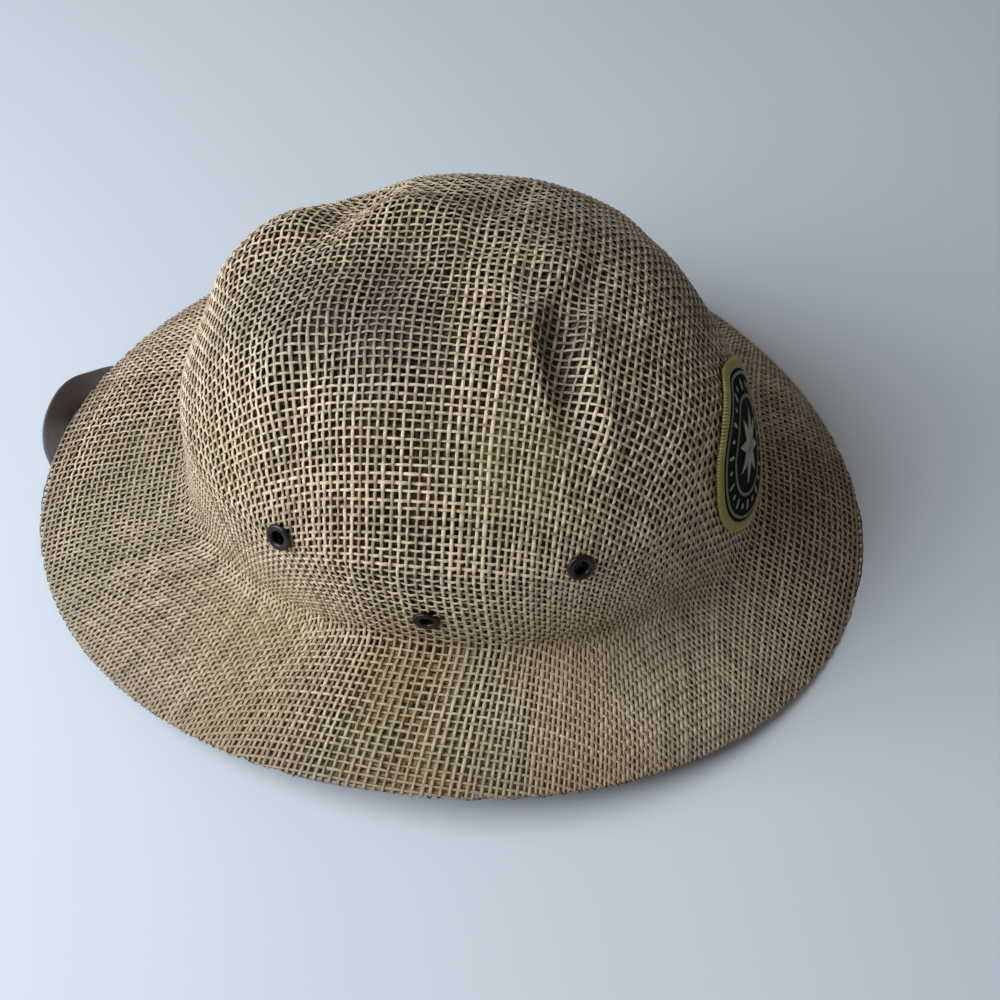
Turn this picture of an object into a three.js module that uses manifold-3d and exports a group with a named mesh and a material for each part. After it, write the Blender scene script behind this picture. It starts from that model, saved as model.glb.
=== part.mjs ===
// Mesh sun helmet: woven shell with brim, six eyelets, round embroidered patch, chin strap.
// Millimetres. +X is the hat's front, +Y the wearer's left, +Z up, floor at z = 0.
import * as THREE from 'three';
import Module from 'manifold-3d';

const wasm = await Module();
wasm.setup();

// Overall sizes
const BRIM_LENGTH = 334;        // front tip to back tip
const BRIM_WIDTH = 280;         // side to side
const TOTAL_HEIGHT = 135;       // floor to the top of the crown
const CREASE_HEIGHT = 33;       // floor to the crease between crown and brim
const CROWN_LENGTH = 224;
const CROWN_WIDTH = 184;
const CROWN_AHEAD = 6.5;        // crown centre ahead of the brim's centre
const CROWN_SQUARENESS = 2.15;  // exponent of the crown's oval, 2 is an ellipse
const SIDE_RISE = 16.5;         // how far the brim turns up at the sides
const REAR_LIFT = 3.2;          // the back of the brim lies on the strap
const FRONT_FLAT = 0.5;         // how much of the front rim the floor presses flat
const WALL = 2.2;               // two pressed plies of straw mesh
const HEM = 4.6;                // width of the flat underside of the turned edge
const GAP = 0.3;                // clearance between touching pieces

// Crown rows from the top down, as shares
// height above the crease, length, width, shift of the oval's centre in half lengths
const CROWN_COLUMNS = { height: 0, length: 1, width: 2, shift: 3 };
const CROWN_ROWS = [
  [1.000, 0.000, 0.000, -0.040],
  [0.985, 0.270, 0.250, -0.040],
  [0.930, 0.475, 0.470, -0.030],
  [0.815, 0.660, 0.690, -0.020],
  [0.650, 0.795, 0.860, -0.010],
  [0.500, 0.885, 0.965, -0.006],
  [0.420, 0.915, 0.995, -0.004],
  [0.250, 0.945, 0.998, 0.010],
  [0.120, 0.968, 0.985, 0.020],
  [0.030, 0.985, 0.970, 0.020],
];

// Brim rows from the crease out, as shares of its reach and of its drop
const BRIM_ROWS = [
  [0.06, 0.08],
  [0.17, 0.19],
  [0.38, 0.37],
  [0.60, 0.56],
  [0.81, 0.77],
  [1.00, 1.00],
];

// Dents and ridges: ahead and left are shares of the crown's half length and half width
// columns: ahead, left, reach, push (reach and push in shares of the crown's height, push < 0 is in)
const DENTS = {
  front_right_groove: [[0.41, 0.03, 0.09, -0.015], [0.34, -0.13, 0.09, -0.036], [0.33, -0.26, 0.095, -0.058],
    [0.38, -0.40, 0.10, -0.060], [0.44, -0.54, 0.10, -0.034], [0.49, -0.66, 0.10, -0.010]],
  front_right_ridge: [[0.43, -0.20, 0.11, 0.012], [0.45, -0.38, 0.12, 0.022], [0.47, -0.54, 0.13, 0.022],
    [0.46, -0.70, 0.12, 0.006]],
  rear_right_groove: [[-0.26, -0.22, 0.14, -0.012], [-0.33, -0.36, 0.14, -0.024],
    [-0.40, -0.49, 0.13, -0.025],
    [-0.42, -0.65, 0.12, -0.008]],
  rear_right_ridge: [[-0.35, -0.17, 0.14, 0.014], [-0.48, -0.36, 0.14, 0.020], [-0.52, -0.54, 0.14, 0.016],
    [-0.56, -0.66, 0.14, 0.010]],
  right_hollow: [[-0.24, -0.50, 0.14, -0.016]],
  front_bump: [[0.31, 0.11, 0.14, 0.025]],
  left_crease: [[0.06, 0.28, 0.09, -0.012], [0.12, 0.39, 0.09, -0.022], [0.19, 0.55, 0.09, -0.016]],
  top_hollow: [[0.08, 0.13, 0.11, -0.020]],
  front_hollow: [[0.23, -0.04, 0.11, -0.020]],
  rear_left_notch: [[-0.47, 0.26, 0.15, -0.030], [-0.42, 0.38, 0.17, -0.062], [-0.36, 0.52, 0.17, -0.062]],
  rear_left_lump: [[-0.64, 0.36, 0.24, 0.040], [-0.76, 0.22, 0.26, 0.045]],
  rear_left_flat: [[-0.56, 0.50, 0.24, -0.026], [-0.42, 0.62, 0.24, -0.032]],
  left_fullness: [[0.02, 0.70, 0.30, 0.016], [0.20, 0.70, 0.30, 0.026], [0.44, 0.74, 0.26, 0.030]],
  top_flat: [[-0.50, 0.02, 0.38, -0.040], [-0.22, -0.03, 0.36, -0.045], [0.02, -0.12, 0.30, -0.025]],
  left_ridge: [[-0.15, 0.36, 0.13, 0.016]],
  front_right_fullness: [[0.56, -0.50, 0.24, 0.020], [0.70, -0.36, 0.26, 0.045], [0.80, -0.20, 0.22, 0.030]],
  front_left_flat: [[0.62, 0.70, 0.26, -0.012], [0.74, 0.62, 0.30, -0.070], [0.84, 0.50, 0.32, -0.056],
    [0.92, 0.30, 0.28, -0.012]],
};

// Mesh density of the shell
const STEPS_AROUND = 64;
const STEPS_PER_CROWN_ROW = 2;
const STEPS_PER_BRIM_ROW = 1;

// Eyelets
const EYELET_OUTER = 10;        // flange diameter
const EYELET_HOLE = 4.8;
const EYELET_TUBE = 6.0;        // outside of the barrel
const EYELET_FLANGE = 0.7;      // flange thickness
const EYELET_SEGMENTS = 16;
const EYELET_SIDE_HEIGHT = 47;  // outer pair above the crease
const EYELET_MID_HEIGHT = 22;   // middle one above the crease
const EYELET_SPREAD = 50.5;     // along the hat between neighbours
const EYELET_MID_AHEAD = 7;     // middle one ahead of the brim's centre

// Patch
const PATCH_DIAMETER = 62;
const PATCH_HEIGHT = 35;        // centre above the crease
const PATCH_BEARING = -6;       // degrees round from the front, minus is to the wearer's right
const PATCH_THICKNESS = 1.2;
const PATCH_BORDER = 3.8;       // width of the raised border
const PATCH_BORDER_HEIGHT = 2.0;
const SEAT = 0.4;               // extra room over the rounded cloth
const STAR_DIAMETER = 27;
const STAR_POINTS = 8;
const STAR_INNER = 0.42;        // inner radius as a share of the outer
const STAR_HEIGHT = 0.7;

// Chin strap
const STRAP_WIDTH = 12;
const STRAP_THICKNESS = 1.6;
const STRAP_FALL = 1;           // how far it has left the wall just under the eyelet
const STRAP_SECTIONS = 68;
// Centre line as shares of the brim's half length and half width, lift over the floor as a share of
// the crease's height, turn is the bearing of the strap's width in degrees and lean how far its outer
// edge stands up.
// columns: ahead, left, lift, turn, lean
const STRAP_ROWS = [
  [0.000, -0.540, 0.824, 4, 0],
  [-0.080, -0.460, 0.400, 28, 0],
  [-0.210, -0.370, 0.097, 52, 0],
  [-0.400, -0.245, 0, 66, 0],
  [-0.620, -0.160, 0, 70, 0],
  [-0.820, -0.100, 0, 66, 0],
  [-0.930, -0.050, 0, 56, 0],
  [-0.986, 0.020, 0, 42, 0],
  [-1.010, 0.085, 0.048, 20, 20],
  [-1.014, 0.156, 0.133, 0, 56],
  [-1.000, 0.228, 0.115, -30, 48],
  [-0.964, 0.300, 0.024, -50, 10],
  [-0.916, 0.338, 0, -66, 0],
  [-0.800, 0.360, 0, -80, 0],
  [-0.620, 0.355, 0, -88, 0],
  [-0.400, 0.350, 0, -72, 0],
  [-0.210, 0.400, 0.097, -50, 0],
  [-0.080, 0.475, 0.400, -26, 0],
  [0.000, 0.545, 0.824, -4, 0],
];

// Small tools
const rad = THREE.MathUtils.degToRad;

// Catmull-Rom between four equally spaced values.
function blend(p0, p1, p2, p3, f) {
  return 0.5 * (2 * p1 + (p2 - p0) * f + (2 * p0 - 5 * p1 + 4 * p2 - p3) * f * f
    + (3 * p1 - p0 - 3 * p2 + p3) * f * f * f);
}

// Point of an oval |x/a|^n + |y/b|^n = 1 seen at the angle th.
function oval(th, a, b, n) {
  const c = Math.cos(th);
  const s = Math.sin(th);
  const r = (Math.abs(c / a) ** n + Math.abs(s / b) ** n) ** (-1 / n);
  return [r * c, r * s];
}

// Shell surface
const CROWN_DEPTH = TOTAL_HEIGHT - CREASE_HEIGHT;
const HALF_LENGTH = CROWN_LENGTH / 2;
const HALF_WIDTH = CROWN_WIDTH / 2;
const LAST_CROWN = CROWN_ROWS.length - 1;
const LAST_ROW = LAST_CROWN + BRIM_ROWS.length;

function rimPoint(th) {
  const [x, y] = oval(th, BRIM_LENGTH / 2, BRIM_WIDTH / 2, 2);
  const z = SIDE_RISE * Math.sin(th) ** 2 + REAR_LIFT * (1 - Math.cos(th)) / 2 - FRONT_FLAT;
  return [x, y, Math.max(0, z)];
}

function rowPoint(th, k) {
  const [cx, cy] = oval(th, HALF_LENGTH, HALF_WIDTH, CROWN_SQUARENESS);
  const c = CROWN_COLUMNS;
  const crown = CROWN_ROWS[Math.min(k, LAST_CROWN)];
  const x = CROWN_AHEAD + crown[c.shift] * HALF_LENGTH + cx * crown[c.length];
  const y = cy * crown[c.width];
  if (k <= LAST_CROWN) return [x, y, CREASE_HEIGHT + CROWN_DEPTH * crown[c.height]];
  const [out, drop] = BRIM_ROWS[k - LAST_CROWN - 1];
  const rim = rimPoint(th);
  return [x + (rim[0] - x) * out, y + (rim[1] - y) * out, CREASE_HEIGHT + (rim[2] - CREASE_HEIGHT) * drop];
}

// The undented surface at the angle th and the row position u, 0 at the top and LAST_ROW at the rim.
function smoothPoint(th, u) {
  const k = Math.max(0, Math.min(Math.floor(u), LAST_ROW - 1));
  const f = u - k;
  const p1 = rowPoint(th, k);
  const p2 = rowPoint(th, k + 1);
  const p0 = k > 0 ? rowPoint(th, k - 1) : rowPoint(th + Math.PI, 1);
  const p3 = k < LAST_ROW - 1 ? rowPoint(th, k + 2) : p2.map((v, i) => 2 * v - p1[i]);
  return new THREE.Vector3(...[0, 1, 2].map((i) => blend(p0[i], p1[i], p2[i], p3[i], f)));
}

function normalOf(surface, th, u) {
  const e = 0.004;
  const v = Math.min(Math.max(u, 0.05), LAST_ROW - 0.01);
  const around = surface(th + e, v).sub(surface(th - e, v));
  const down = surface(th, v + e).sub(surface(th, v - e));
  return down.cross(around).normalize();
}

// Crown point above the plan position (ahead, left), given in shares.
function crownAbove(ahead, left) {
  const th = Math.atan2(left * HALF_WIDTH, ahead * HALF_LENGTH);
  const r = Math.hypot(ahead * HALF_LENGTH, left * HALF_WIDTH);
  let low = 0;
  let high = 6;
  for (let i = 0; i < 30; i += 1) {
    const mid = (low + high) / 2;
    const p = smoothPoint(th, mid);
    if (Math.hypot(p.x - CROWN_AHEAD, p.y) < r) low = mid;
    else high = mid;
  }
  return smoothPoint(th, (low + high) / 2);
}

const dentPaths = Object.values(DENTS).map((rows) => rows.map(([ahead, left, reach, push]) => ({
  at: crownAbove(ahead, left), reach: reach * CROWN_DEPTH, push: push * CROWN_DEPTH,
})));

// Sum over the dents of push (1 - (d / reach)^2)^2, d being the distance to the dent's path.
function dentPush(p) {
  let total = 0;
  for (const path of dentPaths) {
    let best = 0;
    for (let i = 0; i < Math.max(1, path.length - 1); i += 1) {
      const a = path[i];
      const b = path[Math.min(i + 1, path.length - 1)];
      const edge = b.at.clone().sub(a.at);
      const t = path.length > 1
        ? Math.min(Math.max(p.clone().sub(a.at).dot(edge) / edge.lengthSq(), 0), 1) : 0;
      const d = p.distanceTo(a.at.clone().addScaledVector(edge, t));
      const q = Math.min(d / (a.reach + (b.reach - a.reach) * t), 1);
      const push = (a.push + (b.push - a.push) * t) * (1 - q * q) ** 2;
      if (Math.abs(push) > Math.abs(best)) best = push;
    }
    total += best;
  }
  return total;
}

function outerPoint(th, u) {
  const p = smoothPoint(th, u);
  return p.addScaledVector(normalOf(smoothPoint, th, u), dentPush(p));
}

// Inside of the wall: one wall thickness in, ending in the flat underside of the hem.
function innerPoint(th, u) {
  const p = outerPoint(th, u);
  if (u >= LAST_ROW) {
    const inward = new THREE.Vector3(CROWN_AHEAD - p.x, -p.y, 0).normalize();
    return p.addScaledVector(inward, HEM);
  }
  return p.addScaledVector(normalOf(outerPoint, th, u), -WALL);
}

// Mesh helpers
const group = new THREE.Group();
group.name = 'sun_helmet';

// Triangles turned so that their volume is positive, with every face looking out.
function facingOut(vertices, triangles) {
  let volume = 0;
  for (const [a, b, c] of triangles) {
    volume += vertices[a].dot(vertices[b].clone().cross(vertices[c]));
  }
  return volume > 0 ? triangles : triangles.map(([a, b, c]) => [a, c, b]);
}

function geometryOf(vertices, triangles) {
  const g = new THREE.BufferGeometry();
  g.setAttribute('position', new THREE.Float32BufferAttribute(vertices.flatMap((v) => [v.x, v.y, v.z]), 3));
  g.setIndex(facingOut(vertices, triangles).flat());
  return g;
}

function addPiece(name, geometry, color, roughness, metalness = 0) {
  geometry.computeVertexNormals();
  const mesh = new THREE.Mesh(geometry, new THREE.MeshStandardMaterial({ color, roughness, metalness }));
  mesh.name = name;
  group.add(mesh);
}

function solidOf(vertices, triangles) {
  return new wasm.Manifold(new wasm.Mesh({
    numProp: 3,
    vertProperties: new Float32Array(vertices.flatMap((v) => [v.x, v.y, v.z])),
    triVerts: new Uint32Array(facingOut(vertices, triangles).flat()),
  }));
}

function geometryOfSolid(solid) {
  const m = solid.getMesh();
  const g = new THREE.BufferGeometry();
  const xyz = new Float32Array((m.vertProperties.length / m.numProp) * 3);
  for (let i = 0; i < xyz.length / 3; i += 1) {
    for (let j = 0; j < 3; j += 1) xyz[3 * i + j] = m.vertProperties[m.numProp * i + j];
  }
  g.setAttribute('position', new THREE.BufferAttribute(xyz, 3));
  g.setIndex(new THREE.BufferAttribute(new Uint32Array(m.triVerts), 1));
  return g;
}

// Closed body from closed sections of equal count: a ring of sections, or a run with two end caps.
function sweep(sections, closed) {
  const n = sections[0].length;
  const count = sections.length;
  const triangles = [];
  for (let i = 0; i < (closed ? count : count - 1); i += 1) {
    const a = i * n;
    const b = ((i + 1) % count) * n;
    for (let j = 0; j < n; j += 1) {
      const k = (j + 1) % n;
      triangles.push([a + j, b + j, b + k], [a + j, b + k, a + k]);
    }
  }
  if (!closed) {
    const end = (count - 1) * n;
    for (let j = 1; j < n - 1; j += 1) {
      triangles.push([0, j, j + 1], [end, end + j + 1, end + j]);
    }
  }
  return { vertices: sections.flat(), triangles };
}

// Woven shell
function rowPositions() {
  const list = [0.45];
  for (let k = 2; k <= LAST_CROWN * STEPS_PER_CROWN_ROW; k += 1) list.push(k / STEPS_PER_CROWN_ROW);
  const brim = BRIM_ROWS.length * STEPS_PER_BRIM_ROW;
  for (let k = 1; k <= brim; k += 1) list.push(LAST_CROWN + k / STEPS_PER_BRIM_ROW);
  return list;
}

function shellSolid() {
  const rows = rowPositions();
  const vertices = [];
  const triangles = [];
  const layer = (surface, flip) => {
    const start = vertices.length;
    vertices.push(surface(0, 0));
    for (const u of rows) {
      for (let i = 0; i < STEPS_AROUND; i += 1) {
        vertices.push(surface((2 * Math.PI * i) / STEPS_AROUND, u));
      }
    }
    const at = (r, i) => start + 1 + r * STEPS_AROUND + (i % STEPS_AROUND);
    const add = (a, b, c) => triangles.push(flip ? [a, c, b] : [a, b, c]);
    for (let i = 0; i < STEPS_AROUND; i += 1) {
      add(start, at(0, i), at(0, i + 1));
      for (let r = 0; r < rows.length - 1; r += 1) {
        add(at(r, i), at(r + 1, i), at(r + 1, i + 1));
        add(at(r, i), at(r + 1, i + 1), at(r, i + 1));
      }
    }
    return (i) => at(rows.length - 1, i);
  };
  const outerRim = layer(outerPoint, false);
  const innerRim = layer(innerPoint, true);
  for (let i = 0; i < STEPS_AROUND; i += 1) {
    const next = i + 1;
    triangles.push([outerRim(i), innerRim(i), innerRim(next)], [outerRim(i), innerRim(next), outerRim(next)]);
  }
  return solidOf(vertices, triangles);
}

// Places on the crown
// Row position of a height above the crease, on the crown's side wall at the angle th.
function rowAtHeight(th, height) {
  let low = 1;
  let high = LAST_CROWN;
  for (let i = 0; i < 30; i += 1) {
    const mid = (low + high) / 2;
    if (outerPoint(th, mid).z - CREASE_HEIGHT > height) low = mid;
    else high = mid;
  }
  return (low + high) / 2;
}

// Angle on the right side (side -1) or left side (side 1) whose point is at x.
function angleAtX(x, height, side) {
  let low = 0;
  let high = Math.PI;
  for (let i = 0; i < 30; i += 1) {
    const mid = (low + high) / 2;
    if (outerPoint(side * mid, rowAtHeight(side * mid, height)).x > x) low = mid;
    else high = mid;
  }
  return (side * (low + high)) / 2;
}

function placeOn(th, u) {
  const at = outerPoint(th, u);
  const out = normalOf(outerPoint, th, u);
  const along = new THREE.Vector3(0, 0, 1).cross(out).normalize();
  const up = out.clone().cross(along).normalize();
  return { at, out, along, up, th, u };
}

// Surface position (th, u) whose shadow on the plane of `place` is (p, q).
function positionUnder(place, p, q) {
  const flat = (th, u) => {
    const d = smoothPoint(th, u).sub(place.at);
    return [d.dot(place.along), d.dot(place.up)];
  };
  let { th, u } = place;
  const e = 0.002;
  const steps = 20;
  for (let i = 1; i <= steps; i += 1) {
    // the goal walks out from the place, then stays for the last steps
    const share = Math.min(1, (2 * i) / steps);
    const [a, b] = flat(th, u);
    const [a1, b1] = flat(th + e, u);
    const [a2, b2] = flat(th, u + e);
    const m = [(a1 - a) / e, (a2 - a) / e, (b1 - b) / e, (b2 - b) / e];
    const det = m[0] * m[3] - m[1] * m[2];
    th -= (m[3] * (a - p * share) - m[1] * (b - q * share)) / det;
    u -= (m[0] * (b - q * share) - m[2] * (a - p * share)) / det;
  }
  return [th, u];
}

// Eyelets
// A lathe about the local z axis turned so that z points along `out`.
function eyeletPoints(place, profile) {
  const rings = [];
  for (let i = 0; i < EYELET_SEGMENTS; i += 1) {
    const a = (2 * Math.PI * i) / EYELET_SEGMENTS;
    const across = place.along.clone().multiplyScalar(Math.cos(a)).addScaledVector(place.up, Math.sin(a));
    rings.push(profile.map(([r, z]) => (
      place.at.clone().addScaledVector(across, r).addScaledVector(place.out, z))));
  }
  return rings;
}

// How far the cloth stands over (1) or under (-1) the plane of `place` within the flange.
function clothReach(surface, place, sense) {
  let reach = -Infinity;
  for (let i = 0; i < 16; i += 1) {
    const a = (Math.PI * i) / 8;
    for (const r of [EYELET_TUBE / 2, EYELET_OUTER / 2 + 0.5]) {
      const p = surface(...positionUnder(place, r * Math.cos(a), r * Math.sin(a)));
      reach = Math.max(reach, sense * p.sub(place.at).dot(place.out));
    }
  }
  return reach;
}

// Depth of the wall's inside below the plane of `place`, over the strap's width at the given rise.
function wallDepth(place, rise) {
  const depths = [-1, 0, 1].map((k) => {
    const p = innerPoint(...positionUnder(place, (k * STRAP_WIDTH) / 2, rise));
    return -p.sub(place.at).dot(place.out);
  });
  return Math.max(...depths);
}

function eyelet(name, place, clamped) {
  const rise = clothReach(outerPoint, place, 1) + GAP;
  const back = -(clothReach(innerPoint, place, -1) + GAP + clamped);
  const hole = EYELET_HOLE / 2;
  const tube = EYELET_TUBE / 2;
  const rim = EYELET_OUTER / 2;
  const t = EYELET_FLANGE;
  const profile = [
    [hole, back - t], [hole, rise + 0.4 * t], [hole + 0.5, rise + t], [rim - 0.8, rise + t], [rim, rise],
    [tube, rise], [tube, back], [rim - 0.6, back], [rim - 0.9, back - t],
  ];
  const { vertices, triangles } = sweep(eyeletPoints(place, profile), true);
  addPiece(name, geometryOf(vertices, triangles), 0x2b2624, 0.45, 0.8);
}

function eyeletBore(place) {
  const r = EYELET_TUBE / 2 + GAP;
  const { vertices, triangles } = sweep([EYELET_OUTER, -EYELET_OUTER - WALL - STRAP_THICKNESS].map((z) => {
    const ring = [];
    for (let i = 0; i < EYELET_SEGMENTS; i += 1) {
      const a = (2 * Math.PI * i) / EYELET_SEGMENTS;
      const across = place.along.clone().multiplyScalar(Math.cos(a)).addScaledVector(place.up, Math.sin(a));
      ring.push(place.at.clone().addScaledVector(across, r).addScaledVector(place.out, z));
    }
    return ring;
  }), false);
  return solidOf(vertices, triangles);
}

const eyeletPlaces = [];
for (const [sideName, side] of [['right', -1], ['left', 1]]) {
  for (const [spot, step] of [['rear', -1], ['middle', 0], ['front', 1]]) {
    const height = step === 0 ? EYELET_MID_HEIGHT : EYELET_SIDE_HEIGHT;
    const th = angleAtX(EYELET_MID_AHEAD + step * EYELET_SPREAD, height, side);
    const place = placeOn(th, rowAtHeight(th, height));
    eyeletPlaces.push({ name: `eyelet_${sideName}_${spot}`, middle: step === 0, place });
  }
}

let shell = shellSolid();
for (const { place } of eyeletPlaces) shell = shell.subtract(eyeletBore(place));
addPiece('woven_shell', geometryOfSolid(shell), 0xa8977a, 0.85);
for (const { name, place, middle } of eyeletPlaces) {
  eyelet(name, place, middle ? STRAP_THICKNESS + 2 * GAP + SEAT : 0);
}

// Patch
const patchPlace = (() => {
  const th = rad(PATCH_BEARING);
  return placeOn(th, rowAtHeight(th, PATCH_HEIGHT));
})();

// Point over the crown whose shadow on the patch's own plane is (p, q), standing `lift` off the cloth.
function patchPoint(p, q, lift) {
  const [th, u] = positionUnder(patchPlace, p, q);
  return outerPoint(th, u).addScaledVector(normalOf(outerPoint, th, u), lift);
}

const FIELD_LIFT = GAP + SEAT;
const FIELD_RADIUS = PATCH_DIAMETER / 2 - PATCH_BORDER;

// Curved plate over the plan outline given by radius(angle), with rings of points from its middle out.
function plate(radius, steps, rings, low, high) {
  const vertices = [];
  const triangles = [];
  const layer = (lift, flip) => {
    const start = vertices.length;
    vertices.push(patchPoint(0, 0, lift));
    for (let k = 1; k <= rings; k += 1) {
      for (let i = 0; i < steps; i += 1) {
        const a = (2 * Math.PI * i) / steps;
        const r = (radius(i) * k) / rings;
        vertices.push(patchPoint(r * Math.cos(a), r * Math.sin(a), lift));
      }
    }
    const at = (k, i) => start + 1 + (k - 1) * steps + (i % steps);
    const add = (a, b, c) => triangles.push(flip ? [a, c, b] : [a, b, c]);
    for (let i = 0; i < steps; i += 1) {
      add(start, at(1, i), at(1, i + 1));
      for (let k = 1; k < rings; k += 1) {
        add(at(k, i), at(k + 1, i), at(k + 1, i + 1));
        add(at(k, i), at(k + 1, i + 1), at(k, i + 1));
      }
    }
    return (i) => at(rings, i);
  };
  const top = layer(high, false);
  const bottom = layer(low, true);
  for (let i = 0; i < steps; i += 1) {
    triangles.push([top(i), bottom(i), bottom(i + 1)], [top(i), bottom(i + 1), top(i + 1)]);
  }
  return geometryOf(vertices, triangles);
}

const fieldPlate = plate(() => FIELD_RADIUS, 30, 4, FIELD_LIFT, FIELD_LIFT + PATCH_THICKNESS);
addPiece('patch_field', fieldPlate, 0x0c120f, 0.9);

const starBase = FIELD_LIFT + PATCH_THICKNESS + 2 * GAP + SEAT;
addPiece('patch_star', plate((i) => (STAR_DIAMETER / 2) * (i % 2 ? STAR_INNER : 1), 2 * STAR_POINTS, 2,
  starBase, starBase + STAR_HEIGHT), 0xc9c9b4, 0.8);

// Raised border: a rounded section carried round the field.
{
  const inner = FIELD_RADIUS + GAP;
  const outer = PATCH_DIAMETER / 2;
  const middle = (inner + outer) / 2;
  const half = (outer - inner) / 2;
  const low = FIELD_LIFT;
  const high = low + PATCH_BORDER_HEIGHT;
  const section = [
    [inner, low], [outer, low], [outer, low + 0.45 * (high - low)], [middle + 0.4 * half, high],
    [middle - 0.4 * half, high], [inner, low + 0.5 * (high - low)]];
  const steps = 40;
  const sections = [];
  for (let i = 0; i < steps; i += 1) {
    const a = (2 * Math.PI * i) / steps;
    sections.push(section.map(([r, z]) => patchPoint(r * Math.cos(a), r * Math.sin(a), z)));
  }
  const { vertices, triangles } = sweep(sections, true);
  addPiece('patch_border', geometryOf(vertices, triangles), 0x9aa02c, 0.6);
}

// Chin strap
function strapFrames() {
  const halfL = BRIM_LENGTH / 2;
  const halfW = BRIM_WIDTH / 2;
  const rows = STRAP_ROWS.map(([ahead, left, lift, turn, lean]) => {
    const height = lift * CREASE_HEIGHT + STRAP_THICKNESS / 2;
    const w = new THREE.Vector3(Math.cos(rad(turn)), Math.sin(rad(turn)), 0);
    w.multiplyScalar(Math.cos(rad(lean))).z = -Math.sin(rad(lean));
    return { at: new THREE.Vector3(ahead * halfL, left * halfW, height), w };
  });
  // Both ends lie flat against the inside of the crown, behind the middle eyelets.
  const ends = eyeletPlaces.filter((e) => e.middle).map(({ place }) => {
    const seat = clothReach(innerPoint, place, -1);
    return [STRAP_WIDTH / 2 - 1, -STRAP_WIDTH / 2 + 1, -EYELET_OUTER].map((rise) => ({
      at: place.at.clone().addScaledVector(place.up, rise)
        .addScaledVector(place.out, -Math.max(seat, wallDepth(place, rise)) - 2 * GAP - SEAT
          - STRAP_THICKNESS / 2 - (rise < -STRAP_WIDTH / 2 ? STRAP_FALL : 0)),
      w: new THREE.Vector3(1, 0, 0).addScaledVector(place.out, -place.out.x).normalize(),
    }));
  });
  return [...ends[0], ...rows, ...ends[1].reverse()];
}

function strapSections() {
  const frames = strapFrames();
  const last = frames.length - 1;
  const pick = (i) => frames[Math.min(Math.max(i, 0), last)];
  const at = (s, key) => {
    const k = Math.min(Math.floor(s), last - 1);
    const [p0, p1, p2, p3] = [pick(k - 1)[key], pick(k)[key], pick(k + 1)[key], pick(k + 2)[key]];
    const out = ['x', 'y', 'z'].map((c) => blend(p0[c], p1[c], p2[c], p3[c], s - k));
    return new THREE.Vector3(...out);
  };
  const sections = [];
  for (let i = 0; i <= STRAP_SECTIONS; i += 1) {
    const s = (last * i) / STRAP_SECTIONS;
    const along = at(Math.min(s + 0.02, last), 'at').sub(at(Math.max(s - 0.02, 0), 'at')).normalize();
    const width = at(s, 'w');
    width.addScaledVector(along, -width.dot(along)).normalize();
    const face = width.clone().cross(along).normalize();
    const c = at(s, 'at');
    const w = STRAP_WIDTH / 2;
    const t = STRAP_THICKNESS / 2;
    const b = 0.45;
    const outline = [[-w + b, -t], [w - b, -t], [w, 0], [w - b, t], [-w + b, t], [-w, 0]];
    sections.push(outline.map(([p, q]) => {
      const v = c.clone().addScaledVector(width, p).addScaledVector(face, q);
      v.z = Math.max(v.z, 0);
      return v;
    }));
  }
  return sections;
}

{
  const { vertices, triangles } = sweep(strapSections(), false);
  let strap = solidOf(vertices, triangles);
  for (const { middle, place } of eyeletPlaces) if (middle) strap = strap.subtract(eyeletBore(place));
  addPiece('chin_strap', geometryOfSolid(strap), 0x5b5049, 0.6);
}

// Origin at the middle of the whole hat's footprint
group.updateMatrixWorld(true);
const box = new THREE.Box3().setFromObject(group);
const shift = new THREE.Vector3(-(box.min.x + box.max.x) / 2, -(box.min.y + box.max.y) / 2, -box.min.z);
for (const mesh of group.children) mesh.geometry.translate(shift.x, shift.y, shift.z);

export default group;
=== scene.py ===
"""Mesh sun helmet: two plies of straw laid thread by thread over the blocked shape, with eyelets,
an embroidered patch and a chin strap. Lengths are millimetres until a mesh is made, then metres."""

import logging
from collections.abc import Callable
from dataclasses import dataclass, field
from enum import Enum

import bpy
import numpy as np
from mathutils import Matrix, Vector


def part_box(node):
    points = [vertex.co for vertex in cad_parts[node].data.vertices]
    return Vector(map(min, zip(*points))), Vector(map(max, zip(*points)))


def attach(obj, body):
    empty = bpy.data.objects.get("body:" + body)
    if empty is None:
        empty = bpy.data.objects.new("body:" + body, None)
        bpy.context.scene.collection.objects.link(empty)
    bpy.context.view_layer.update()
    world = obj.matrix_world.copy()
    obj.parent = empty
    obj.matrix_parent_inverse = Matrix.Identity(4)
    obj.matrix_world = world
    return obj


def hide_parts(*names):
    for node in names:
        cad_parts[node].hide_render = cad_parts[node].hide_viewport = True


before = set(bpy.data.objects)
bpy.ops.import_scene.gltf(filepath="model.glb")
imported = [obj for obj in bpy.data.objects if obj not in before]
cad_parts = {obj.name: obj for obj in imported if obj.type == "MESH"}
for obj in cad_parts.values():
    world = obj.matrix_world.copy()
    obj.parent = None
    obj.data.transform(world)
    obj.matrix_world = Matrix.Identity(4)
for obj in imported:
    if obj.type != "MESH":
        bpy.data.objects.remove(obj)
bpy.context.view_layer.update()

logging.basicConfig(level=logging.INFO, format="%(message)s")
LOG = logging.getLogger("helmet")

Array = np.ndarray
Socket = bpy.types.NodeSocket
Material = bpy.types.Material
Colour = tuple[float, float, float]
MM = 0.001


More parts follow.
